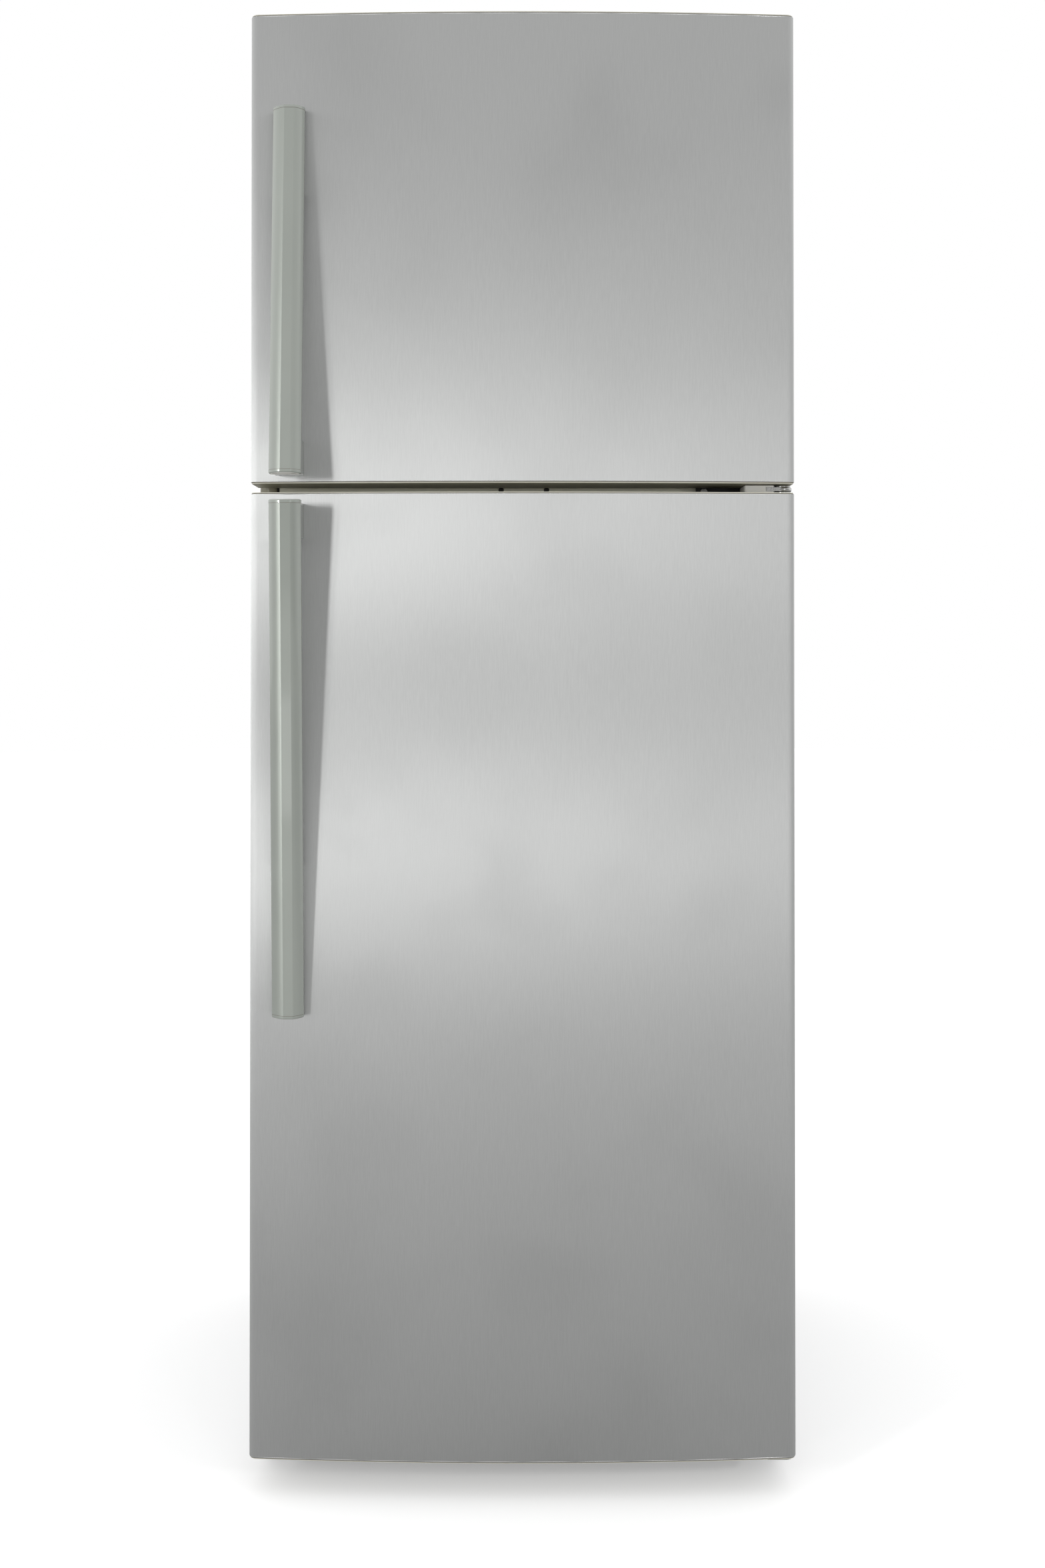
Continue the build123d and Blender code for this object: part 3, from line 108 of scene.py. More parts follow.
class Graph:
    """A node tree with short calls that add and join its nodes."""

    # The colour sockets of a mix node come after those for numbers and vectors.
    mix_low: ClassVar[int] = 6
    mix_high: ClassVar[int] = 7
    mix_result: ClassVar[int] = 2

    def __init__(self, tree: bpy.types.NodeTree) -> None:
        """Keeps the tree that the calls work on."""
        self.tree = tree

    def put(self, value: Value, target: Socket) -> None:
        """Joins a varying value to an input, or sets the input to a constant.

        Args:
            value: The varying value or the constant.
            target: The input.
        """
        if isinstance(value, Socket):
            self.tree.links.new(value, target)
        else:
            target.default_value = value

    def node(self, kind: str, feeds: Feeds | None = None, **settings: object) -> Node:
        """Adds a node.

        Args:
            kind: The node's type name.
            feeds: Varying values or constants for its inputs, by name or by place.
            settings: Properties to set on the node.

        Returns:
            The new node.
        """
        made = self.tree.nodes.new(kind)
        for name, value in settings.items():
            setattr(made, name, value)
        for place, value in (feeds or {}).items():
            self.put(value, made.inputs[place])
        return made

    def coordinates(self) -> Socket:
        """Returns the object's own coordinates."""
        return self.node("ShaderNodeTexCoord").outputs["Object"]

    def normal(self) -> Socket:
        """Returns the direction in which the surface faces."""
        return self.node("ShaderNodeNewGeometry").outputs["Normal"]

    def axis(self, source: Socket, name: str) -> Socket:
        """Takes the X, Y or Z of a place or a direction."""
        return self.node("ShaderNodeSeparateXYZ", {0: source}).outputs[name]

    def between(
        self, source: Socket, low: float, high: float, start: float = 0.0, end: float = 1.0
    ) -> Socket:
        """Stretches a varying value from one range, start to end, to another, low to high."""
        feeds = {"Value": source, "From Min": start, "From Max": end, "To Min": low, "To Max": high}
        return self.node("ShaderNodeMapRange", feeds, clamp=True).outputs["Result"]

    def spread(self, noise: Socket, low: float, high: float) -> Socket:
        """Stretches a noise pattern to a new range."""
        return self.between(noise, low, high, *NOISE_SPAN)

    def maths(self, operation: str, first: Socket, second: Socket | float) -> Socket:
        """Combines a varying value with another one or with a number."""
        return self.node("ShaderNodeMath", {0: first, 1: second}, operation=operation).outputs[0]

    def tint(self, mask: Socket, low: Socket | Sequence[float], high: Sequence[float]) -> Socket:
        """Runs from one colour to another as a mask rises from 0 to 1."""
        feeds = {"Factor": mask, self.mix_low: low, self.mix_high: high}
        return self.node("ShaderNodeMix", feeds, data_type="RGBA").outputs[self.mix_result]

    def shade(self, mask: Socket, colour: Colour, low: float, high: float) -> Socket:
        """Runs from one tone of a colour to another as a mask rises."""
        return self.tint(mask, toned(colour, low), toned(colour, high))

    def noise(self, scale: Socket | float, detail: float, vector: Socket | None = None) -> Socket:
        """Adds a noise pattern, with its patches to the metre and its number of finer layers."""
        feeds = {"Vector": vector or self.coordinates(), "Scale": scale, "Detail": detail}
        return self.node("ShaderNodeTexNoise", feeds).outputs[0]

    def show(self, target: str, mask: Socket, first: Node, second: Node) -> None:
        """Sends one shader to an output node where a mask is 0 and another where it is 1."""
        mix = self.node("ShaderNodeMixShader", {0: mask, 1: first.outputs[0], 2: second.outputs[0]})
        self.put(mix.outputs[0], self.tree.nodes[target].inputs["Surface"])


class Surface(Graph):
    """The node tree of a new material, with calls for its shader."""

    def __init__(self, title: str) -> None:
        """Makes the material with a plain shader.

        Args:
            title: The material's name.
        """
        self.material = bpy.data.materials.new(title)
        self.material.use_nodes = True
        super().__init__(self.material.node_tree)
        self.shader = self.tree.nodes["Principled BSDF"]

    def feed(self, title: str, value: Value) -> None:
        """Gives one of the shader's inputs a varying value or a constant."""
        self.put(value, self.shader.inputs[title])

    def fed(self, title: str) -> Socket:
        """Returns the varying value that feeds one of the shader's inputs."""
        return self.shader.inputs[title].links[0].from_socket

    def relief(self, height: Socket, depth: float) -> None:
        """Raises a relief of some depth in metres by a height that varies from 0 to 1."""
        feeds = {"Height": height, "Strength": 1.0, "Distance": depth}
        self.feed("Normal", self.node("ShaderNodeBump", feeds).outputs["Normal"])


class Effect(Enum):
    """The surface effects that finishes share. A value names the node group and its maker's method."""

    BRUSHING = "brushing"
    MOULDING = "moulding"
    SMUDGES = "smudges"
    DUST = "dust"
    SPANGLE = "spangle"

    def place(self, graph: Graph, **values: float) -> Node:
        """Puts the effect into a material. Its node group is built on the first call.

        Args:
            graph: The material's nodes.
            values: The effect's inputs, by name.

        Returns:
            The group node.
        """
        if self.value not in bpy.data.node_groups:
            getattr(EffectMaker(self.value), self.value)()
        group = bpy.data.node_groups[self.value]
        return graph.node("ShaderNodeGroup", {**values}, node_tree=group)


class EffectMaker(Graph):
    """Builds the node group of one shared effect."""

    smear_span: ClassVar[Plan] = (0.48, 0.72)
    upward_span: ClassVar[Plan] = (0.4, 0.95)
    dust_span: ClassVar[Plan] = (0.35, 0.65)
    dust_least: ClassVar[float] = 0.3

    def __init__(self, title: str) -> None:
        """Starts an empty group.

        Args:
            title: The group's name.
        """
        super().__init__(bpy.data.node_groups.new(title, "ShaderNodeTree"))
        self.entry = self.node("NodeGroupInput")
        self.exit = self.node("NodeGroupOutput")

    def socket(self, title: str, way: str) -> bpy.types.NodeTreeInterfaceSocket:
        """Adds a named input or output to the group."""
        return self.tree.interface.new_socket(title, in_out=way, socket_type="NodeSocketFloat")

    def take(self, title: str, value: float) -> Socket:
        """Adds a named input with its usual value and returns the socket inside the group."""
        self.socket(title, "INPUT").default_value = value
        return self.entry.outputs[title]

    def give(self, title: str, source: Socket) -> None:
        """Adds a named output to the group and feeds it."""
        self.socket(title, "OUTPUT")
        self.put(source, self.exit.inputs[title])

    def brushing(self) -> None:
        """Fine upright streaks, with soft clouds where the brush bore harder."""
        across = self.take("Across", 1200.0)
        along = self.take("Along", 8.0)
        cloud = self.take("Cloud", 4.0)
        scale = self.node("ShaderNodeCombineXYZ", {"X": across, "Y": across, "Z": along})
        stretch = {0: self.coordinates(), 1: scale.outputs[0]}
        stretched = self.node("ShaderNodeVectorMath", stretch, operation="MULTIPLY")
        self.give("Streaks", self.noise(1.0, 3.0, stretched.outputs[0]))
        self.give("Clouds", self.noise(cloud, 2.0))

    def moulding(self) -> None:
        """The fine pebble of a moulded or sprayed surface, with a faint mottle of tone."""
        pebble = self.take("Pebble", 900.0)
        mottle = self.take("Mottle", 7.0)
        self.give("Pebble", self.noise(pebble, 2.0))
        self.give("Mottle", self.noise(mottle, 4.0))

    def smudges(self) -> None:
        """Faint smears where hands and cloths have been."""
        smear = self.noise(self.take("Scale", 9.0), 5.0)
        self.give("Smears", self.between(smear, 0.0, 1.0, *self.smear_span))

    def dust(self) -> None:
        """Dust that settles on what faces up, in patches."""
        patches = self.noise(self.take("Scale", 24.0), 4.0)
        upward = self.between(self.axis(self.normal(), "Z"), 0.0, 1.0, *self.upward_span)
        settled = self.between(patches, self.dust_least, 1.0, *self.dust_span)
        self.give("Dust", self.maths("MULTIPLY", upward, settled))

    def spangle(self) -> None:
        """The crystal flowers of hot-dipped zinc, or the cells of foam."""
        feeds = {"Scale": self.take("Scale", 90.0), "Vector": self.coordinates()}
        flowers = self.node("ShaderNodeTexVoronoi", feeds).outputs["Color"]
        self.give("Flowers", self.node("ShaderNodeSeparateColor", {0: flowers}).outputs[0])


@dataclass(frozen=True)
class Finish:
    """A surface finish, most often that of one of the record's material slots."""

    slot: str
    colour: Colour
    roughness: float

    def material(self) -> bpy.types.Material:
        """Makes the finish's material, on the first call.

        Returns:
            The material.
        """
        title = self.slot + "_finish"
        if title not in bpy.data.materials:
            look = Surface(title)
            look.feed("Base Color", toned(self.colour))
            look.feed("Roughness", self.roughness)
            self.dress(look)
        return bpy.data.materials[title]

    def dress(self, look: Surface) -> None:
        """Adds the finish's own pattern to a plain shader."""
        raise NotImplementedError

    def tone(self, look: Surface, noise: Socket, reach: float) -> Socket:
        """Lets the colour grow lighter and darker with a noise pattern, by some share either way."""
        return look.shade(look.spread(noise, 0.0, 1.0), self.colour, 1.0 - reach, 1.0 + reach)

    def sheen(self, look: Surface, noise: Socket, reach: float) -> Socket:
        """Lets the roughness vary with a noise pattern, by so much either way."""
        return look.spread(noise, self.roughness - reach, self.roughness + reach)


@dataclass(frozen=True)
class BrushedSteel(Finish):
    """Steel sheet brushed upright, a little smeared."""

    metallic: float = 1.0
    anisotropy: float = 0.97
    streaks_across: float = 900.0
    streaks_along: float = 55.0
    streak_tone: float = 0.03
    streak_sheen: float = 0.02
    streak_depth: float = 0.005 * MM
    clouds: float = 3.0
    cloud_sheen: float = 0.01
    smears: float = 6.0
    smear_sheen: float = 0.03

    def dress(self, look: Surface) -> None:
        """Adds the brushing, its clouds and a few smears.

        Args:
            look: The material's nodes.
        """
        look.feed("Metallic", self.metallic)
        look.feed("Anisotropic", self.anisotropy)
        brush = Effect.BRUSHING.place(
            look, Across=self.streaks_across, Along=self.streaks_along, Cloud=self.clouds
        ).outputs
        smears = Effect.SMUDGES.place(look, Scale=self.smears).outputs["Smears"]
        look.feed("Base Color", self.tone(look, brush["Streaks"], self.streak_tone))
        grain = look.spread(brush["Streaks"], -self.streak_sheen, self.streak_sheen)
        cloud = self.sheen(look, brush["Clouds"], self.cloud_sheen)
        smear = look.between(smears, 0.0, self.smear_sheen)
        look.feed("Roughness", look.maths("ADD", look.maths("ADD", cloud, grain), smear))
        look.relief(brush["Streaks"], self.streak_depth)


@dataclass(frozen=True)
class MouldedFinish(Finish):
    """Moulded plastic, sprayed paint or rubber: a fine pebble, a faint mottle and some dust."""

    metallic: float = 0.0
    coat: float = 0.0
    coat_roughness: float = 0.03
    coat_index: float = 1.5
    pebble: float = 900.0
    depth: float = 0.02 * MM
    mottle: float = 0.05
    sheen_spread: float = 0.05
    dust: float = 0.0
    dust_sheen: ClassVar[float] = 0.4
    dust_colour: ClassVar[Colour] = shown(176, 170, 158)

    def dress(self, look: Surface) -> None:
        """Adds the pebble, the mottle and the dust.

        Args:
            look: The material's nodes.
        """
        look.feed("Metallic", self.metallic)
        look.feed("Coat Weight", self.coat)
        look.feed("Coat Roughness", self.coat_roughness)
        look.feed("Coat IOR", self.coat_index)
        skin = Effect.MOULDING.place(look, Pebble=self.pebble).outputs
        colour = self.tone(look, skin["Mottle"], self.mottle)
        rough = self.sheen(look, skin["Mottle"], self.sheen_spread)
        if self.dust:
            veil = look.maths("MULTIPLY", Effect.DUST.place(look).outputs["Dust"], self.dust)
            colour = look.tint(veil, colour, toned(self.dust_colour))
            rough = look.maths("ADD", rough, look.maths("MULTIPLY", veil, self.dust_sheen))
        look.feed("Base Color", colour)
        look.feed("Roughness", rough)
        look.relief(skin["Pebble"], self.depth)


@dataclass(frozen=True)
class CapFinish(MouldedFinish):
    """The moulding of a door's end caps, with painted shade: darker on the faces that look down."""

    underside_painted_shade: Colour = shown(158, 155, 138)
    downward_span: Plan = (-0.95, -0.4)

    def dress(self, look: Surface) -> None:
        """Adds the moulded surface and the painted shade on its underside.

        Args:
            look: The material's nodes.
        """
        super().dress(look)
        # Painted shade: the faces that look down get a darker colour.
        painted_shade_mask = look.between(look.axis(look.normal(), "Z"), 1.0, 0.0, *self.downward_span)
        colour = look.tint(painted_shade_mask, look.fed("Base Color"), toned(self.underside_painted_shade))
        look.feed("Base Color", colour)


@dataclass(frozen=True)
class MetalFinish(Finish):
    """Bare metal with fine rubbing marks and a tarnish in patches."""

    tarnish: Colour = (0.2, 0.18, 0.16)
    tarnish_share: float = 0.15
    tarnish_span: Plan = (0.42, 0.68)
    tarnish_sheen: float = 0.4
    patches: float = 40.0
    marks_across: float = 700.0
    marks_along: float = 60.0
    mark_sheen: float = 0.06
    mark_depth: float = 0.006 * MM

    def dress(self, look: Surface) -> None:
        """Adds the rubbing marks and the tarnish.

        Args:
            look: The material's nodes.
        """
        look.feed("Metallic", 1.0)
        brush = Effect.BRUSHING.place(
            look, Across=self.marks_across, Along=self.marks_along, Cloud=self.patches
        ).outputs
        patch = look.between(brush["Clouds"], 0.0, self.tarnish_share, *self.tarnish_span)
        look.feed("Base Color", look.tint(patch, toned(self.colour), toned(self.tarnish)))
        grain = self.sheen(look, brush["Streaks"], self.mark_sheen)
        stain = look.maths("MULTIPLY", patch, self.tarnish_sheen)
        look.feed("Roughness", look.maths("ADD", grain, stain))
        look.relief(brush["Streaks"], self.mark_depth)


@dataclass(frozen=True)
class HingeFinish(MetalFinish):
    """The mid hinge: a dark painted plate on the cabinet and a polished arm and eye."""

    tarnish_sheen: float = 0.0
    mark_sheen: float = 0.05
    paint: Colour = shown(48, 47, 45)
    paint_sheen: float = 0.25
    paint_span: Plan = (-246.8 * MM, -243.8 * MM)

    def dress(self, look: Surface) -> None:
        """Adds bare metal at the front and paint at the back.

        Args:
            look: The material's nodes.
        """
        super().dress(look)
        painted = look.between(look.axis(look.coordinates(), "Y"), 0.0, 1.0, *self.paint_span)
        colour = look.tint(painted, look.fed("Base Color"), toned(self.paint))
        dull = look.maths("MULTIPLY", painted, self.paint_sheen)
        rough = look.maths("ADD", look.fed("Roughness"), dull)
        look.feed("Base Color", colour)
        look.feed("Metallic", look.between(painted, 1.0, 0.0))
        look.feed("Roughness", rough)


@dataclass(frozen=True)
class ZincFinish(Finish):
    """Galvanised sheet with its pattern of zinc crystals."""

    metallic: float = 0.85
    crystals: float = 70.0
    crystal_tones: Plan = (0.86, 1.08)
    shiny_crystal: float = 0.08
    dull_crystal: float = 0.06
    bloom: float = 5.0
    bloom_sheen: Plan = (-0.05, 0.08)
    pebble: float = 500.0
    depth: float = 0.01 * MM

    def dress(self, look: Surface) -> None:
        """Adds the crystals and a dull bloom.

        Args:
            look: The material's nodes.
        """
        look.feed("Metallic", self.metallic)
        flowers = Effect.SPANGLE.place(look, Scale=self.crystals).outputs["Flowers"]
        bloom = Effect.MOULDING.place(look, Pebble=self.pebble, Mottle=self.bloom).outputs
        look.feed("Base Color", look.shade(flowers, self.colour, *self.crystal_tones))
        dull, shiny = self.roughness + self.dull_crystal, self.roughness - self.shiny_crystal
        rough = look.between(flowers, shiny, dull)
        haze = look.spread(bloom["Mottle"], *self.bloom_sheen)
        look.feed("Roughness", look.maths("ADD", rough, haze))
        look.relief(bloom["Pebble"], self.depth)


@dataclass(frozen=True)
class ClearFinish(Finish):
    """Glass or clear plastic, a little smeared."""

    index: float = 1.5
    clearness: float = 1.0
    ripple: float = 40.0
    ripple_depth: float = 0.02 * MM
    mottle: float = 5.0
    mottle_tones: Plan = (0.97, 1.0)
    smears: float = 14.0
    smear_sheen: float = 0.06

    def dress(self, look: Surface) -> None:
        """Adds the tint, the smears and the slight waviness.

        Args:
            look: The material's nodes.
        """
        look.feed("Transmission Weight", self.clearness)
        look.feed("IOR", self.index)
        smears = Effect.SMUDGES.place(look, Scale=self.smears).outputs["Smears"]
        skin = Effect.MOULDING.place(look, Pebble=self.ripple, Mottle=self.mottle).outputs
        tone = look.spread(skin["Mottle"], 0.0, 1.0)
        look.feed("Base Color", look.shade(tone, self.colour, *self.mottle_tones))
        rough = look.between(smears, self.roughness, self.roughness + self.smear_sheen)
        look.feed("Roughness", rough)
        look.relief(skin["Pebble"], self.ripple_depth)


@dataclass(frozen=True)
class FoamFinish(Finish):
    """Poured insulating foam with its open cells."""

    cells: float = 420.0
    cell_tones: Plan = (0.85, 1.05)
    cell_sheen: float = 0.1
    cell_depth: float = 0.4 * MM

    def dress(self, look: Surface) -> None:
        """Adds the cells.

        Args:
            look: The material's nodes.
        """
        cells = Effect.SPANGLE.place(look, Scale=self.cells).outputs["Flowers"]
        look.feed("Base Color", look.shade(cells, self.colour, *self.cell_tones))
        rough = look.between(cells, self.roughness - self.cell_sheen, self.roughness)
        look.feed("Roughness", rough)
        look.relief(cells, self.cell_depth)


FINISHES: dict[str, Finish] = {
    finish.slot: finish
    for finish in (
        BrushedSteel("door_steel", (0.732, 0.74, 0.733), 0.50),
        MouldedFinish(
            "handle_satin", shown(166, 171, 164), 0.36, metallic=0.6, pebble=1500.0, depth=0.004 * MM,
            mottle=0.02, coat=1.0, coat_roughness=0.06, coat_index=1.6,
        ),
        CapFinish("trim_beige", shown(206, 204, 190), 0.45),
        # The rail is lighter than the caps: painted light that stands in for light reaching deep into the
        # gap between the doors.
        MouldedFinish("rail_grey", shown(232, 230, 212), 0.45),
        MouldedFinish("case_paint", shown(150, 152, 153), 0.40, pebble=420.0, depth=0.04 * MM, dust=0.35),
        ZincFinish("zinc_sheet", shown(186, 189, 191), 0.42),
        MouldedFinish(
            "liner_white", shown(238, 239, 238), 0.28, coat=0.25, pebble=300.0, mottle=0.02,
            sheen_spread=0.004,
        ),
        FoamFinish("foam", shown(233, 214, 150), 0.9),
        MouldedFinish("gasket_grey", shown(196, 196, 191), 0.6, pebble=1600.0),
        ClearFinish("shelf_glass", (0.86, 0.95, 0.92), 0.02, ripple=12.0, ripple_depth=0.01 * MM),
        ClearFinish("clear_plastic", (0.90, 0.94, 0.96), 0.08, index=1.46),
        MouldedFinish("white_plastic", shown(232, 233, 232), 0.42, pebble=1200.0, mottle=0.02),
        ClearFinish(
            "lens_plastic", (0.97, 0.96, 0.92), 0.3, clearness=0.6, ripple=160.0, ripple_depth=0.6 * MM
        ),
        MetalFinish("hinge_steel", (0.62, 0.62, 0.60), 0.24),
        MouldedFinish("hinge_dark", shown(52, 51, 49), 0.42),
        MouldedFinish("cover_grey", shown(214, 213, 208), 0.45),
        MetalFinish("bolt_chrome", (0.56, 0.56, 0.55), 0.14),
        MouldedFinish("compressor_black", shown(36, 36, 37), 0.38, pebble=260.0, depth=0.06 * MM, dust=0.5),
        MetalFinish("copper_tube", (0.80, 0.42, 0.27), 0.28, tarnish=(0.20, 0.11, 0.07), tarnish_share=0.6),
        MetalFinish("fin_aluminium", (0.78, 0.79, 0.80), 0.32, tarnish=(0.5, 0.5, 0.5)),
        MouldedFinish("black_rubber", shown(34, 34, 34), 0.75, pebble=1400.0, dust=0.3),
        MouldedFinish("black_plastic", shown(44, 44, 45), 0.5, dust=0.3),
        MouldedFinish("foot_grey", shown(84, 85, 86), 0.5, dust=0.3),
    )
}

# Nodes that look different from the rest of their slot.
NODE_FINISHES: dict[str, Finish] = {
    "mid_hinge": HingeFinish("mid_hinge", (0.56, 0.56, 0.54), 0.18),
    # Olive grey: the olive tint is a painted reflection of the beige caps beside the flange.
    "case_flange": MouldedFinish("flange", shown(152, 149, 134), 0.45),
}
# A dark line. On the doors it is painted shade along the undercut between hem and cap; on the grips it is
# the dark joint between cap and bar.
SEAM_AND_SHADE_LINE = MouldedFinish("seam_and_shade_line", shown(112, 107, 97), 0.6)
RAIL_BEAD = MouldedFinish("rail_bead", shown(122, 118, 100), 0.35, coat=0.6)
HEM_STEEL = MetalFinish("hem_steel", (0.88, 0.88, 0.87), 0.2, tarnish=(0.7, 0.7, 0.69))


def add_object(name: str, data: bpy.types.ID) -> bpy.types.Object:
    """Adds an object to the scene.

    Args:
        name: The object's name.
        data: Its mesh, light or camera.

    Returns:
        The new object.
    """
    made = bpy.data.objects.new(name, data)
    bpy.context.scene.collection.objects.link(made)
    return made


def add_piece(name: str, mesh: Mesh, slot: str, body: str, finish: Finish | None = None) -> None:
    """Turns a mesh into a named piece that rides on a body.

    Args:
        name: The piece's name.
        mesh: Its mesh, which is used up.
        slot: The record's material slot.
        body: The body that it rides on.
        finish: A finish to use instead of the slot's own.
    """
    bmesh.ops.recalc_face_normals(mesh, faces=mesh.faces[:])
    data = bpy.data.meshes.new(name)
    mesh.to_mesh(data)
    mesh.free()
    data.shade_smooth()
    data.set_sharp_from_angle(angle=SHARP_ANGLE)
    data.materials.append((finish or FINISHES[slot]).material())
    piece = add_object(name, data)
    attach(piece, body)
    LOG.info("built %s on %s", name, body)


def circle(radius: float, sides: int) -> list[Plan]:
    """Returns points at even steps around a circle."""
    turns = [2 * math.pi * step / sides for step in range(sides)]
    return [(radius * math.cos(turn), radius * math.sin(turn)) for turn in turns]


def add_loft(mesh: Mesh, rings: Sequence[Sequence[Vector]]) -> None:
    """Adds a closed skin through rings that all have the same number of points.

    Args:
        mesh: The mesh to add to.
        rings: The rings, from one end to the other.
    """
    placed = [[mesh.verts.new(point) for point in ring] for ring in rings]
    count = len(placed[0])
    for first, second in zip(placed, placed[1:]):
        for step in range(count):
            following = (step + 1) % count
            mesh.faces.new((first[step], first[following], second[following], second[step]))
    mesh.faces.new(placed[0])
    mesh.faces.new(placed[-1])


def add_tube(mesh: Mesh, route: Sequence[Vector], radius: float, sides: int) -> None:
    """Adds a round bead along a level route.

    Args:
        mesh: The mesh to add to.
        route: The points of the bead's middle line, all at one height.
        radius: The bead's radius.
        sides: How many faces it has around.
    """
    section = circle(radius, sides)
    rings = []
    for number, point in enumerate(route):
        before = route[max(number - 1, 0)]
        after = route[min(number + 1, len(route) - 1)]
        outward = (after - before).normalized().cross(UP)
        rings.append([point + outward * across + UP * rise for across, rise in section])
    add_loft(mesh, rings)


def add_turned(
    mesh: Mesh, profile: Sequence[Plan], place: Vector, axis: Vector, sides: int = 24
) -> None:
    """Adds a turned shape, such as a plug or a ring.

    Args:
        mesh: The mesh to add to.
        profile: The outline's radii and heights, from base to top, or once round a ring's section.
        place: Where the base's middle lies.
        axis: The direction in which the heights run.
        sides: How many faces it has around.
    """
    turn = UP.rotation_difference(axis).to_matrix()
    rings = []
    for radius, height in profile:
        spots = circle(radius, sides) if radius else [(0.0, 0.0)]
        rings.append([mesh.verts.new(place + turn @ Vector((*spot, height))) for spot in spots])
    pairs = list(zip(rings, rings[1:]))
    if profile[0][0]:
        pairs.append((rings[-1], rings[0]))
    for first, second in pairs:
        for step in range(sides):
            following = (step + 1) % sides
            low = [first[step % len(first)], first[following % len(first)]]
            high = [second[following % len(second)], second[step % len(second)]]
            mesh.faces.new(list(dict.fromkeys(low + high)))


def add_bar(
    mesh: Mesh, low: Vector, high: Vector, rounding: float, placing: Matrix | None = None
) -> None:
    """Adds a bar between two corners with all its edges rounded.

    Args:
        mesh: The mesh to add to.
        low: The bar's lowest corner.
        high: The bar's highest corner.
        rounding: The radius of its edges.
        placing: A turn or a shift of the finished bar.
    """
    bar = bmesh.new()
    shape = Matrix.Translation((low + high) / 2) @ Matrix.Diagonal((*(high - low), 1.0))
    bmesh.ops.create_cube(bar, size=1.0)
    bmesh.ops.transform(bar, matrix=shape, verts=bar.verts[:])
    bmesh.ops.bevel(
        bar, geom=bar.edges[:], offset=rounding, segments=BAR_SEGMENTS, profile=ROUND_PROFILE,
        affect="EDGES",
    )
    spot = Matrix() if placing is None else placing
    corners = {corner: mesh.verts.new(spot @ corner.co) for corner in bar.verts}
    for face in bar.faces:
        mesh.faces.new([corners[corner] for corner in face.verts])
    bar.free()


class Assembly:
    """A sub-assembly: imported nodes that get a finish, and small pieces of its own."""

    nodes: Names = ()
    rounded: Names = ()
    edge: float = 0.6 * MM

    def dress(self) -> None:
        """Gives each node its own finish, or else that of its slot, and rounds the edges of some."""
        for node in self.nodes:
            piece = frame["nodes"][node]
            finish = NODE_FINISHES.get(node, FINISHES[SLOTS[node]])
            if not piece.material_slots:
                piece.data.materials.append(None)
            for place in piece.material_slots:
                place.material = finish.material()
            LOG.info("dressed %s as %s", node, finish.slot)
        for node in self.rounded:
            self.soften(frame["nodes"][node].modifiers)

    def soften(self, modifiers: bpy.types.ObjectModifiers) -> None:
        """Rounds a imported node's sharp edges for the looks alone.

        Args:
            modifiers: The node's modifiers.
        """
        modifiers.new("joined_faces", "WELD").merge_threshold = SAME_PLACE
        flat = modifiers.new("flat_faces", "DECIMATE")
        flat.decimate_type = "DISSOLVE"
        flat.angle_limit = FLAT_ANGLE
        rounding = modifiers.new("soft_edges", "BEVEL")
        rounding.width = self.edge
        rounding.segments = ROUND_SEGMENTS
        rounding.limit_method = "ANGLE"
        rounding.angle_limit = ROUND_ANGLE

    def build(self) -> None:
        """Builds the small pieces, where the sub-assembly has any."""


@dataclass
class Cabinet(Assembly):
    """The cabinet's shell and its linings."""

    nodes: Names = (
        "side_panels", "top_panel", "case_flange", "back_panel", "base_pan", "cabinet_foam",
        "freezer_liner", "fridge_liner",
    )


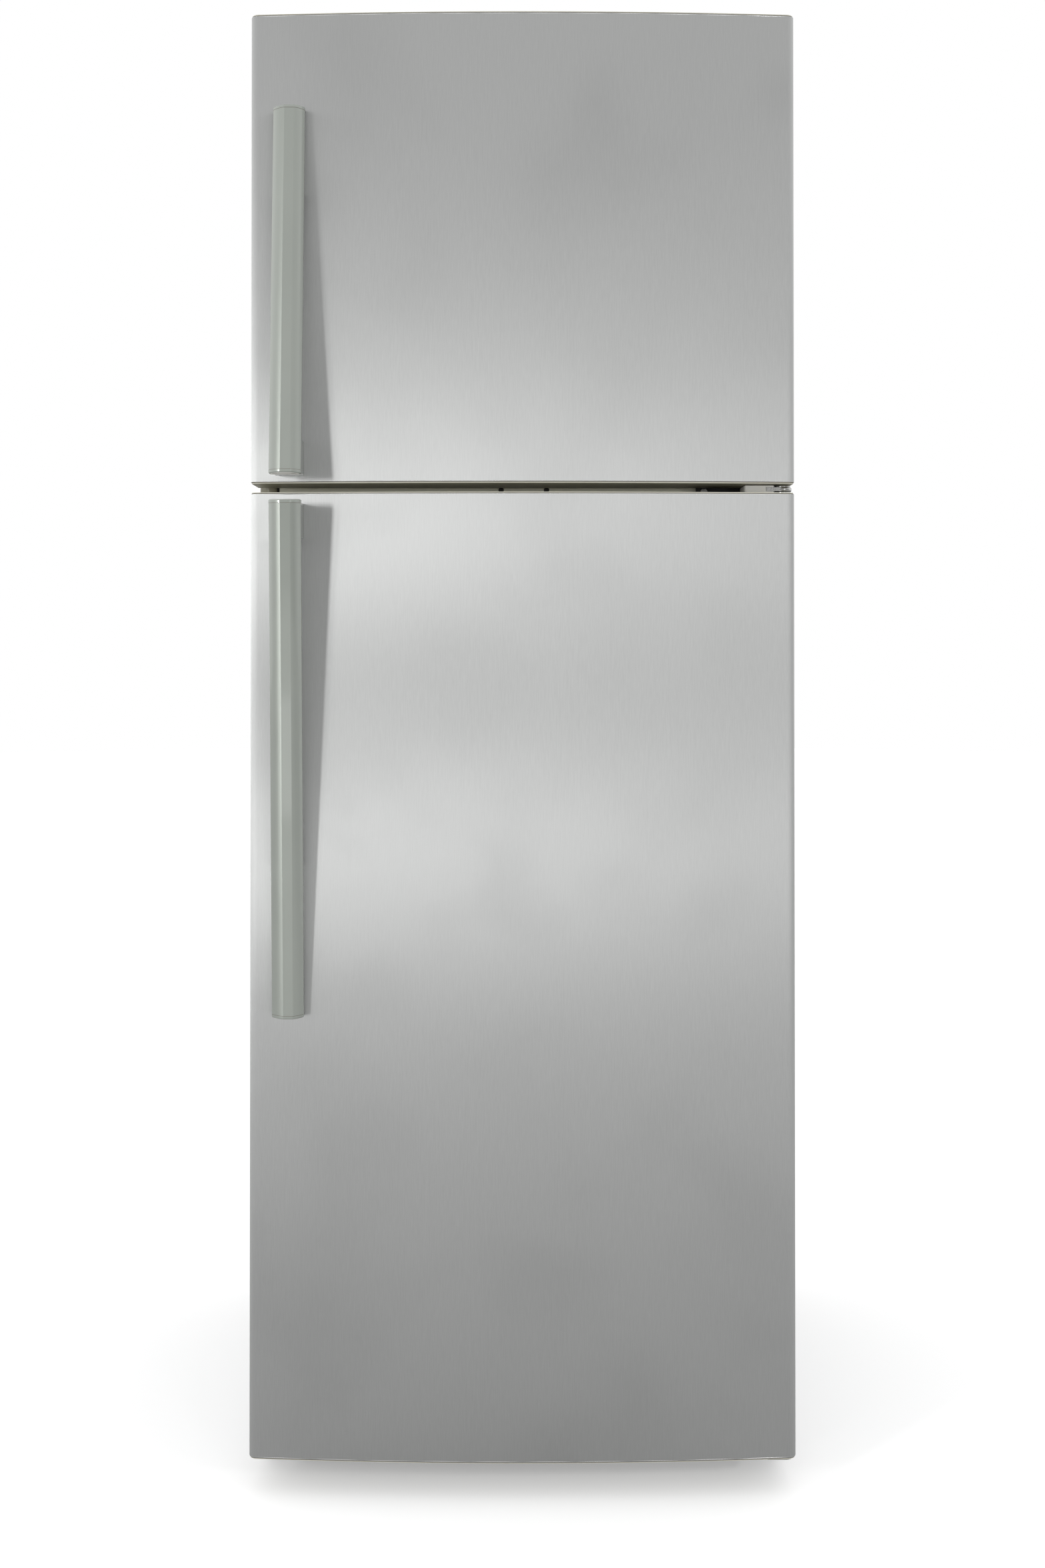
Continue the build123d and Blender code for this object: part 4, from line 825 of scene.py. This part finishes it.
@dataclass
class GapRail(Assembly):
    """The rail seen between the doors, with its plugs, dimples and end bead."""

    nodes: Names = ("mid_rail",)
    level: float = 1233.8 * MM
    sink: float = 0.2 * MM
    plug_places: Plan = (-27.1 * MM, 30.5 * MM)
    plug_radius: float = 3.4 * MM
    # The share of the radius, and the height, of each point from the rim to the middle.
    plug_profile: tuple[Plan, ...] = (
        (1.0, 0.54 * MM), (0.85, 0.9 * MM), (0.62, 0.9 * MM), (0.5, 0.27 * MM), (0.0, 0.18 * MM),
    )
    dimple_places: Plan = (-10.2 * MM, 12.7 * MM)
    dimple_radius: float = 1.3 * MM
    dimple_profile: tuple[Plan, ...] = ((1.0, 0.15 * MM), (0.0, 0.05 * MM))
    bead_left: float = -324.0 * MM
    bead_right: float = -311.6 * MM
    bead_half_height: float = 12.0 * MM
    bead_depth: float = 5.5 * MM
    bead_rounding: float = 2.4 * MM
    # A dark block beside the end bead: painted shade that fills the gap there.
    shade_block_left: float = -312.6 * MM
    shade_block_right: float = -308.9 * MM
    shade_block_depth: float = 1.2 * MM
    shade_block_rounding: float = 0.4 * MM

    def __post_init__(self) -> None:
        """Reads the rail's extent."""
        self.low, self.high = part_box("mid_rail")

    def build(self) -> None:
        """Builds the plugs, the dimples and the end bead, and beside the bead a dark block against the
        rail's front that is painted shade in the gap there.
        """
        plugs, dimples, bead = bmesh.new(), bmesh.new(), bmesh.new()
        for mesh, places, radius, profile in (
            (plugs, self.plug_places, self.plug_radius, self.plug_profile),
            (dimples, self.dimple_places, self.dimple_radius, self.dimple_profile),
        ):
            outline = [(0.0, -self.sink), (radius, -self.sink)]
            outline += [(radius * share, height) for share, height in profile]
            for x in places:
                add_turned(mesh, outline, Vector((x, self.low.y, self.level)), FORWARD)
        middle = (self.low.z + self.high.z) / 2
        foot, head = middle - self.bead_half_height, middle + self.bead_half_height
        # The first bar is the dark block of painted shade beside the bead; the second is the end bead.
        for mesh, left, right, depth, rounding in (
            (plugs, self.shade_block_left, self.shade_block_right, self.shade_block_depth, self.shade_block_rounding),
            (bead, self.bead_left, self.bead_right, self.bead_depth, self.bead_rounding),
        ):
            low = Vector((left, self.low.y - depth, foot))
            add_bar(mesh, low, Vector((right, self.low.y, head)), rounding)
        add_piece("rail_plugs_and_shade_block", plugs, "hinge_dark", "cabinet")
        add_piece("rail_dimples", dimples, "rail_grey", "cabinet")
        add_piece("rail_end_bead", bead, "rail_grey", "cabinet", RAIL_BEAD)


@dataclass
class Hinges(Assembly):
    """The three hinges with their bolts and covers."""

    nodes: Names = (
        "top_hinge", "mid_hinge", "bottom_hinge", "hinge_bolts", "top_hinge_cover", "mid_hinge_cover",
    )
    rounded: Names = ("mid_hinge_cover", "hinge_bolts")
    pin: Plan = (324.0 * MM, -280.29 * MM)
    eye_level: float = 1230.0 * MM
    eye_radius: float = 10.0 * MM
    eye_height: float = 5.0 * MM
    washer_radius: float = 8.5 * MM
    washer_height: float = 2.6 * MM
    ring_sink: float = 1.0 * MM
    ring_proud: float = 0.8 * MM
    ring_steps: int = 8
    ring_sides: int = 40

    def build(self) -> None:
        """Builds the polished, rounded rims of the mid hinge's eye and of its two washers."""
        mesh = bmesh.new()
        offset = (self.eye_height + self.washer_height) / 2
        for lift, radius, height in (
            (0.0, self.eye_radius, self.eye_height),
            (-offset, self.washer_radius, self.washer_height),
            (offset, self.washer_radius, self.washer_height),
        ):
            section = [(radius - self.ring_sink, -height / 2)]
            for step in range(self.ring_steps + 1):
                turn = math.pi * (step / self.ring_steps - 0.5)
                section.append((radius + self.ring_proud * math.cos(turn), height / 2 * math.sin(turn)))
            section.append((radius - self.ring_sink, height / 2))
            place = Vector((*self.pin, self.eye_level + lift))
            add_turned(mesh, section, place, UP, self.ring_sides)
        add_piece("mid_hinge_rings", mesh, "bolt_chrome", "cabinet")


@dataclass
class GroundFittings(Assembly):
    """The kick plate, the screw feet and the rollers."""

    nodes: Names = ("kick_plate", "foot_left", "foot_right", "roller_left", "roller_right")
    rounded: Names = ("kick_plate",)
    edge: float = 0.8 * MM


@dataclass
class MachineCompartment(Assembly):
    """The compressor, the condenser and what stands around them."""

    nodes: Names = ("compressor", "compressor_grommets", "condenser", "drain_pan", "machine_cover")


@dataclass
class FreezerFittings(Assembly):
    """What stands inside the freezer."""

    nodes: Names = (
        "evaporator", "evaporator_cover", "evaporator_fan", "fan_motor", "freezer_shelf",
        "ice_maker_frame", "ice_tray_left", "ice_tray_right", "ice_box",
    )
    rounded: Names = ("ice_maker_frame", "ice_tray_left", "ice_tray_right")


@dataclass
class FridgeFittings(Assembly):
    """What stands inside the fridge, with the dial's marks and the drawers' pull rails."""

    nodes: Names = (
        "air_duct", "lamp_housing", "lamp_lens", "temperature_dial", "light_switch",
        "fridge_shelves", "crisper_cover", "shelf_trims", "crisper_drawer", "chill_drawer",
    )
    rounded: Names = ("temperature_dial",)
    edge: float = 0.4 * MM
    tick_count: int = 7
    tick_sweep: float = math.radians(270)
    tick_start: float = 15.7 * MM
    tick_end: float = 17.3 * MM
    tick_width: float = 0.9 * MM
    tick_proud: float = 0.3 * MM
    tick_rounding: float = 0.1 * MM
    rail_inset: float = 60.0 * MM
    rail_drop: float = 10.0 * MM
    rail_height: float = 9.0 * MM
    rail_proud: float = 3.0 * MM
    rail_sink: float = 1.0 * MM
    rail_rounding: float = 1.4 * MM

    def build_ticks(self) -> None:
        """Builds the marks around the temperature dial."""
        low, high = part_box("temperature_dial")
        joints = {row["name"]: row for row in frame["record"]["behaviour"]["joints"]}
        face = joints["temperature_dial_turn"]["pos_m"][1]
        start = Vector((-self.tick_width / 2, -self.tick_proud, self.tick_start))
        end = Vector((self.tick_width / 2, self.tick_proud, self.tick_end))
        middle = Matrix.Translation(((low.x + high.x) / 2, face, (low.z + high.z) / 2))
        mesh = bmesh.new()
        for step in range(self.tick_count):
            turn = self.tick_sweep * (step / (self.tick_count - 1) - 0.5)
            add_bar(mesh, start, end, self.tick_rounding, middle @ Matrix.Rotation(turn, 4, "Y"))
        add_piece("dial_ticks", mesh, "hinge_dark", "cabinet")

    def build_drawer_rails(self) -> None:
        """Puts a pull rail along the front of each drawer."""
        for drawer in ("crisper_drawer", "chill_drawer"):
            low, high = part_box(drawer)
            top = high.z - self.rail_drop
            start = Vector((low.x + self.rail_inset, low.y - self.rail_proud, top - self.rail_height))
            end = Vector((high.x - self.rail_inset, low.y + self.rail_sink, top))
            mesh = bmesh.new()
            add_bar(mesh, start, end, self.rail_rounding)
            add_piece(drawer + "_rail", mesh, "white_plastic", drawer)

    def build(self) -> None:
        """Builds the dial's marks and the drawers' rails."""
        self.build_ticks()
        self.build_drawer_rails()


@dataclass
class Door(Assembly):
    """One of the two doors: its steel skin with hemmed ends, its caps, its seal and its bins."""

    kind: str
    parts: Names = ("skin", "caps", "foam", "liner", "gasket", "bins")
    bow: float = 12.5 * MM
    bow_steps: int = 40
    corner: float = 10.0 * MM
    corner_steps: int = 6
    hem_radius: float = 0.7 * MM
    # The size and place of the dark bead against the cap, which is painted shade along the undercut.
    shade_line_radius: float = 0.5 * MM
    shade_line_inset: float = 0.95 * MM
    bead_sides: int = 8
    bin_rail_drop: float = 1.0 * MM
    bin_rail_height: float = 7.0 * MM
    bin_rail_depth: float = 2.5 * MM
    bin_rail_inset: float = 14.0 * MM
    bin_rail_rounding: float = 1.0 * MM

    def __post_init__(self) -> None:
        """Names the door's nodes and reads its extent from its skin."""
        self.body = self.kind + "_door"
        self.nodes = tuple(f"{self.body}_{part}" for part in self.parts)
        self.low, self.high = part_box(self.body + "_skin")

    def outline(self, inset: float) -> list[Plan]:
        """Finds the line of the door's sides and bowed front, seen from above.

        Args:
            inset: How far inside the skin's surface the line runs.

        Returns:
            The points from the left rear edge round the front to the right rear edge.
        """
        half = self.high.x - inset
        radius = (self.high.x**2 + self.bow**2) / (2 * self.bow) - inset
        middle = self.low.y + inset + radius
        corner = self.corner - inset
        corner_x = half - corner
        corner_y = middle - math.sqrt((radius - corner) ** 2 - corner_x**2)
        lean = math.atan2(corner_x, middle - corner_y)
        right = []
        for step in range(1, self.bow_steps + 1):
            angle = lean * step / self.bow_steps
            right.append((radius * math.sin(angle), middle - radius * math.cos(angle)))
        for step in range(1, self.corner_steps + 1):
            angle = lean + (math.pi / 2 - lean) * step / self.corner_steps
            right.append((corner_x + corner * math.sin(angle), corner_y - corner * math.cos(angle)))
        right.append((half, self.high.y - inset))
        left = [(-x, y) for x, y in reversed(right)]
        return left + [(0.0, middle - radius)] + right

    def build_hems(self) -> None:
        """Rolls a hem along the skin's lower and upper edges, with a dark bead against the cap that is
        painted shade along the undercut between them.
        """
        for title, edge, inward in (("lower", self.low.z, 1), ("upper", self.high.z, -1)):
            for name, rise, inset, radius, slot, finish in (
                ("hem", inward, self.hem_radius, self.hem_radius, "door_steel", HEM_STEEL),
                # The dark bead is painted shade along the undercut between the hem and the cap.
                ("seam_and_shade_line", -inward, self.shade_line_inset, self.shade_line_radius, "black_rubber", SEAM_AND_SHADE_LINE),
            ):
                mesh = bmesh.new()
                level = edge + rise * radius
                route = [Vector((x, y, level)) for x, y in self.outline(inset)]
                add_tube(mesh, route, radius, self.bead_sides)
                add_piece(f"{self.kind}_{title}_{name}", mesh, slot, self.body, finish)

    def build_bin_rails(self) -> None:
        """Puts a raised rail along the front of each bin."""
        low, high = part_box(self.body + "_bins")
        left, right = low.x + self.bin_rail_inset, high.x - self.bin_rail_inset
        front, back = high.y + self.bin_rail_depth / 2, high.y - self.bin_rail_depth / 2
        mesh = bmesh.new()
        for opening in frame["record"]["physics"]["openings"]:
            name = opening["name"]
            if not name.startswith(self.kind + "_bin_") or name.endswith("_mouth"):
                continue
            top = opening["box_m"][1][2]
            start = Vector((left, back, top - self.bin_rail_height))
            end = Vector((right, front, top - self.bin_rail_drop))
            add_bar(mesh, start, end, self.bin_rail_rounding)
        add_piece(f"{self.kind}_bin_rails", mesh, "white_plastic", self.body)

    def build(self) -> None:
        """Builds the hems, the dark beads of painted shade beside them and the bins' rails."""
        self.build_hems()
        self.build_bin_rails()


@dataclass
class Handle(Assembly):
    """A slanted grip with a moulded cap over each end, on its two brackets."""

    kind: str
    edge: float = 1.2 * MM
    cap_length: float = 2.6 * MM
    cap_proud: float = 0.12 * MM
    cap_reach: float = 1.2 * MM
    cap_rounding: float = 2.0 * MM
    cap_steps: int = 5
    seam_height: float = 0.4 * MM
    seam_proud: float = 0.08 * MM
    painted_light_plate_inset: float = 1.9 * MM
    painted_light_plate_proud: float = 0.3 * MM
    slot_length: float = 6.2 * MM
    slot_width: float = 1.6 * MM
    slot_depth: float = 0.6 * MM
    slot_rounding: float = 0.25 * MM
    slot_sink: float = 0.26 * MM
    slot_spread: float = 11.5 * MM
    slot_setback: float = 7.8 * MM

    def __post_init__(self) -> None:
        """Names the grip's nodes and reads its extent, its slant and the end that stands out most."""
        self.body = self.kind + "_door"
        self.nodes = (self.kind + "_handle", self.kind + "_handle_feet")
        self.rounded = (self.kind + "_handle_feet",)
        self.low, self.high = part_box(self.kind + "_handle")
        lower, upper = (min(y for _, y in self.end_outline(z)) for z in (self.low.z, self.high.z))
        self.near = self.low.z if lower < upper else self.high.z
        self.slope = abs(lower - upper) / (self.high.z - self.low.z)

    def end_outline(self, level: float) -> list[Plan]:
        """Finds the outline of one of the grip's end faces.

        Args:
            level: The end face's height.

        Returns:
            The corners in order around the face.
        """
        grip = frame["nodes"][self.kind + "_handle"].data
        corners = {(v.co.x, v.co.y) for v in grip.vertices if abs(v.co.z - level) < SAME_PLACE}
        x = (min(corner[0] for corner in corners) + max(corner[0] for corner in corners)) / 2
        y = (min(corner[1] for corner in corners) + max(corner[1] for corner in corners)) / 2
        return sorted(corners, key=lambda corner: math.atan2(corner[1] - y, corner[0] - x))

    def end_rings(self, level: float, steps: Sequence[Plan]) -> list[list[Vector]]:
        """Lays rings around one end of the grip.

        Args:
            level: The end face's height.
            steps: How far each ring stands outside the grip's surface, and how far beyond its end.

        Returns:
            The rings, which follow the grip's slant and stay behind its foremost line.
        """
        outline = self.end_outline(level)
        front = min(corner[1] for corner in outline)
        depth = max(corner[1] for corner in outline) - front
        lean = -self.slope if level == self.near else self.slope
        width = self.high.x - self.low.x
        centre = Vector(((self.low.x + self.high.x) / 2, front + depth / 2, level))
        outward = 1 if level == self.high.z else -1
        rings = []
        for proud, beyond in steps:
            ring = []
            for x, y in outline:
                across = (x - centre.x) * (1 + 2 * proud / width)
                deep = (y - centre.y) * (1 + 2 * proud / depth)
                reach = beyond + self.slope * depth / 2 - lean * (y - centre.y)
                spot = centre + Vector((across, deep + lean * reach, outward * reach))
                spot.y = max(spot.y, self.low.y)
                ring.append(spot)
            rings.append(ring)
        return rings

    def build_end_caps(self) -> None:
        """Builds a cap with a rounded rim and a thin seam at each end of the grip, with a pale plate over
        its end face that is painted light.
        """
        rim = [(self.cap_proud, -self.cap_length), (self.cap_proud, 0.0)]
        for step in range(1, self.cap_steps + 1):
            turn = math.pi / 2 * step / self.cap_steps
            inset = self.cap_rounding * (1 - math.cos(turn))
            rim.append((self.cap_proud - inset, self.cap_reach * math.sin(turn)))
        start = -self.cap_length - self.seam_height
        seam_and_shade_line = [(self.seam_proud, start), (self.seam_proud, -self.cap_length)]
        # The pale end plates are painted light on the grip's end faces.
        face = self.cap_reach + self.painted_light_plate_proud
        painted_light_plate = [
            (-self.painted_light_plate_inset, 0.0),
            (-self.painted_light_plate_inset, face - self.painted_light_plate_proud / 2),
            (-self.painted_light_plate_inset - self.painted_light_plate_proud, face),
        ]
        for title, steps, slot, finish in (
            ("caps", rim, "handle_satin", None),
            ("seams", seam_and_shade_line, "hinge_dark", SEAM_AND_SHADE_LINE),
            ("painted_light_plates", painted_light_plate, "cover_grey", None),
        ):
            mesh = bmesh.new()
            for level in (self.low.z, self.high.z):
                add_loft(mesh, self.end_rings(level, steps))
            add_piece(f"{self.kind}_handle_{title}", mesh, slot, self.body, finish)

    def build_end_slots(self) -> None:
        """Marks the two fixing slots in the cap of the end that stands out most."""
        outward = 1 if self.near == self.high.z else -1
        reach = self.cap_reach + self.painted_light_plate_proud - self.slot_sink + self.slope * self.slot_setback
        x = (self.low.x + self.high.x) / 2
        middle = Vector((x, self.low.y + self.slot_setback, self.near + outward * reach))
        turn = Matrix.Rotation(outward * math.atan(self.slope), 4, "X")
        half = Vector((self.slot_length / 2, self.slot_width / 2, self.slot_depth / 2))
        mesh = bmesh.new()
        for side in (-1, 1):
            spot = middle + Vector((side * self.slot_spread, 0.0, 0.0))
            add_bar(mesh, -half, half, self.slot_rounding, Matrix.Translation(spot) @ turn)
        add_piece(self.kind + "_handle_slots", mesh, "hinge_dark", self.body)

    def build(self) -> None:
        """Builds what covers and marks the grip's ends."""
        self.build_end_caps()
        self.build_end_slots()


@dataclass(frozen=True)
class SoftBox:
    """A soft box on a stand."""

    name: str
    place: tuple[float, float, float]
    aim: tuple[float, float, float]
    width: float
    height: float
    power: float
    gloss: bool = True

    def hang(self) -> None:
        """Hangs the box so that it faces its aim."""
        lamp = bpy.data.lights.new(self.name, "AREA")
        lamp.shape = "RECTANGLE"
        lamp.size = self.width
        lamp.size_y = self.height
        lamp.energy = self.power
        hung = add_object(self.name, lamp)
        hung.location = self.place
        heading = Vector(self.aim) - Vector(self.place)
        hung.rotation_euler = heading.to_track_quat("-Z", "Y").to_euler()
        hung.visible_glossy = self.gloss


@dataclass
class Studio:
    """The camera, the floor, the soft boxes and the pale surroundings."""

    camera_distance: float = 2.0
    camera_height: float = 1.0406
    camera_tilt: float = math.radians(0.56)
    focal_length: float = 37.65
    sensor: float = 36.0
    shift_y: float = -0.1007
    floor_radius: float = 14.0
    floor_sides: int = 96
    floor_roughness: float = 0.9
    floor_tone: float = 0.48
    floor_shown: float = 0.86
    floor_lift: float = 0.3
    behind: float = 1.0
    side_start: float = -0.62
    side_end: float = 0.10
    lowest: float = -0.25
    # The height in degrees, and the tone, of each band of light.
    bands: tuple[Plan, ...] = (
        (-12.0, 0.20), (0.0, 0.20), (5.0, 0.35), (10.0, 0.525), (16.0, 0.63), (30.0, 0.70), (50.0, 0.80),
    )
    boxes: tuple[SoftBox, ...] = (
        SoftBox("left_middle_box", (-1.98, -2.41, 1.39), (-0.1, -0.3, 1.2), 0.2, 0.5, 12.6),
        SoftBox("left_low_box", (-1.98, -2.41, 0.45), (-0.1, -0.3, 0.75), 0.2, 0.5, 8.7),
        SoftBox("left_upper_box", (-1.98, -2.41, 1.85), (-0.1, -0.3, 1.6), 0.2, 0.5, 1.15),
        SoftBox("left_high_box", (-1.98, -2.41, 2.40), (-0.1, -0.3, 1.6), 0.2, 0.5, 0.42),
        SoftBox("left_strip", (-2.17, -2.19, 1.40), (-0.28, -0.4, 1.40), 0.15, 1.7, 4.6),
        SoftBox("right_strip", (1.00, -2.70, 1.30), (-0.28, -0.4, 1.30), 0.25, 1.5, 2.5),
        SoftBox("front_strip", (0.0, -3.8, 0.28), (0.0, -0.3, 0.7), 5.0, 0.4, 5.8),
        SoftBox("right_fill", (2.46, -2.02, 1.25), (0.0, -0.3, 1.23), 0.5, 0.14, 16.0, False),
    )

    def build_camera(self) -> None:
        """Sets the camera at the photograph's place."""
        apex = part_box("fridge_door_skin")[0].y
        lens = bpy.data.cameras.new("photo_camera")
        lens.lens = self.focal_length
        lens.sensor_width = self.sensor
        lens.sensor_fit = "AUTO"
        lens.shift_y = self.shift_y
        camera = add_object("photo_camera", lens)
        camera.location = (0.0, apex - self.camera_distance, self.camera_height)
        camera.rotation_euler = (math.pi / 2 + self.camera_tilt, 0.0, 0.0)
        bpy.context.scene.camera = camera

    def build_world(self) -> None:
        """Makes the surroundings: white behind the object, soft bands of light before it."""
        world = bpy.data.worlds.new("studio")
        bpy.context.scene.world = world
        world.use_nodes = True
        graph = Graph(world.node_tree)
        light = world.node_tree.nodes["Background"]
        heading = graph.node("ShaderNodeTexCoord").outputs["Generated"]
        ramp = graph.node("ShaderNodeValToRGB")
        ramp.color_ramp.interpolation = "EASE"
        stops = ramp.color_ramp.elements
        # The place of a new stop is set below, with the others.
        while len(stops) < len(self.bands):
            stops.new(0.5)
        for stop, (elevation, tone) in zip(stops, self.bands):
            stop.position = (math.sin(math.radians(elevation)) - self.lowest) / (1.0 - self.lowest)
            stop.color = toned(WHITE, tone)
        rise = graph.between(graph.axis(heading, "Z"), 0.0, 1.0, self.lowest, 1.0)
        graph.put(rise, ramp.inputs[0])
        rear = graph.between(graph.axis(heading, "Y"), 0.0, 1.0, self.side_start, self.side_end)
        pale = graph.tint(rear, ramp.outputs[0], toned(WHITE, self.behind))
        graph.put(pale, light.inputs["Color"])
        white = graph.node("ShaderNodeBackground", {"Color": toned(WHITE)})
        path = graph.node("ShaderNodeLightPath").outputs
        seen = graph.maths("MAXIMUM", path["Is Camera Ray"], path["Is Transmission Ray"])
        graph.show("World Output", seen, light, white)

    def build_floor(self) -> None:
        """Lays a plain pale floor that shows the object's shadow."""
        mesh = bmesh.new()
        bmesh.ops.create_circle(
            mesh, cap_ends=True, segments=self.floor_sides, radius=self.floor_radius
        )
        data = bpy.data.meshes.new("floor")
        mesh.to_mesh(data)
        mesh.free()
        floor = add_object("floor", data)
        look = Surface("floor_pale")
        look.feed("Roughness", self.floor_roughness)
        look.feed("Base Color", toned(WHITE, self.floor_tone))
        pale = look.node("ShaderNodeBsdfDiffuse", {"Color": toned(WHITE, self.floor_shown)})
        lift = look.node("ShaderNodeEmission", {"Strength": self.floor_lift})
        together = look.node("ShaderNodeAddShader", {0: pale.outputs[0], 1: lift.outputs[0]})
        seen = look.node("ShaderNodeLightPath").outputs["Is Camera Ray"]
        look.show("Material Output", seen, look.shader, together)
        data.materials.append(look.material)

    def build(self) -> None:
        """Builds the whole studio."""
        bpy.context.scene.view_settings.view_transform = "Standard"
        self.build_camera()
        self.build_world()
        self.build_floor()
        for box in self.boxes:
            box.hang()
        LOG.info("built the studio with %d soft boxes", len(self.boxes))


def main() -> None:
    """Dresses and builds every sub-assembly, then the studio."""
    logging.basicConfig(level=logging.INFO, format="%(name)s: %(message)s")
    assemblies: list[Assembly] = [
        Cabinet(), GapRail(), Hinges(), GroundFittings(), MachineCompartment(), FreezerFittings(),
        FridgeFittings(),
    ]
    for kind in ("freezer", "fridge"):
        assemblies += [Door(kind), Handle(kind)]
    for assembly in assemblies:
        assembly.dress()
        assembly.build()
    Studio().build()


if __name__ == "__main__":
    main()
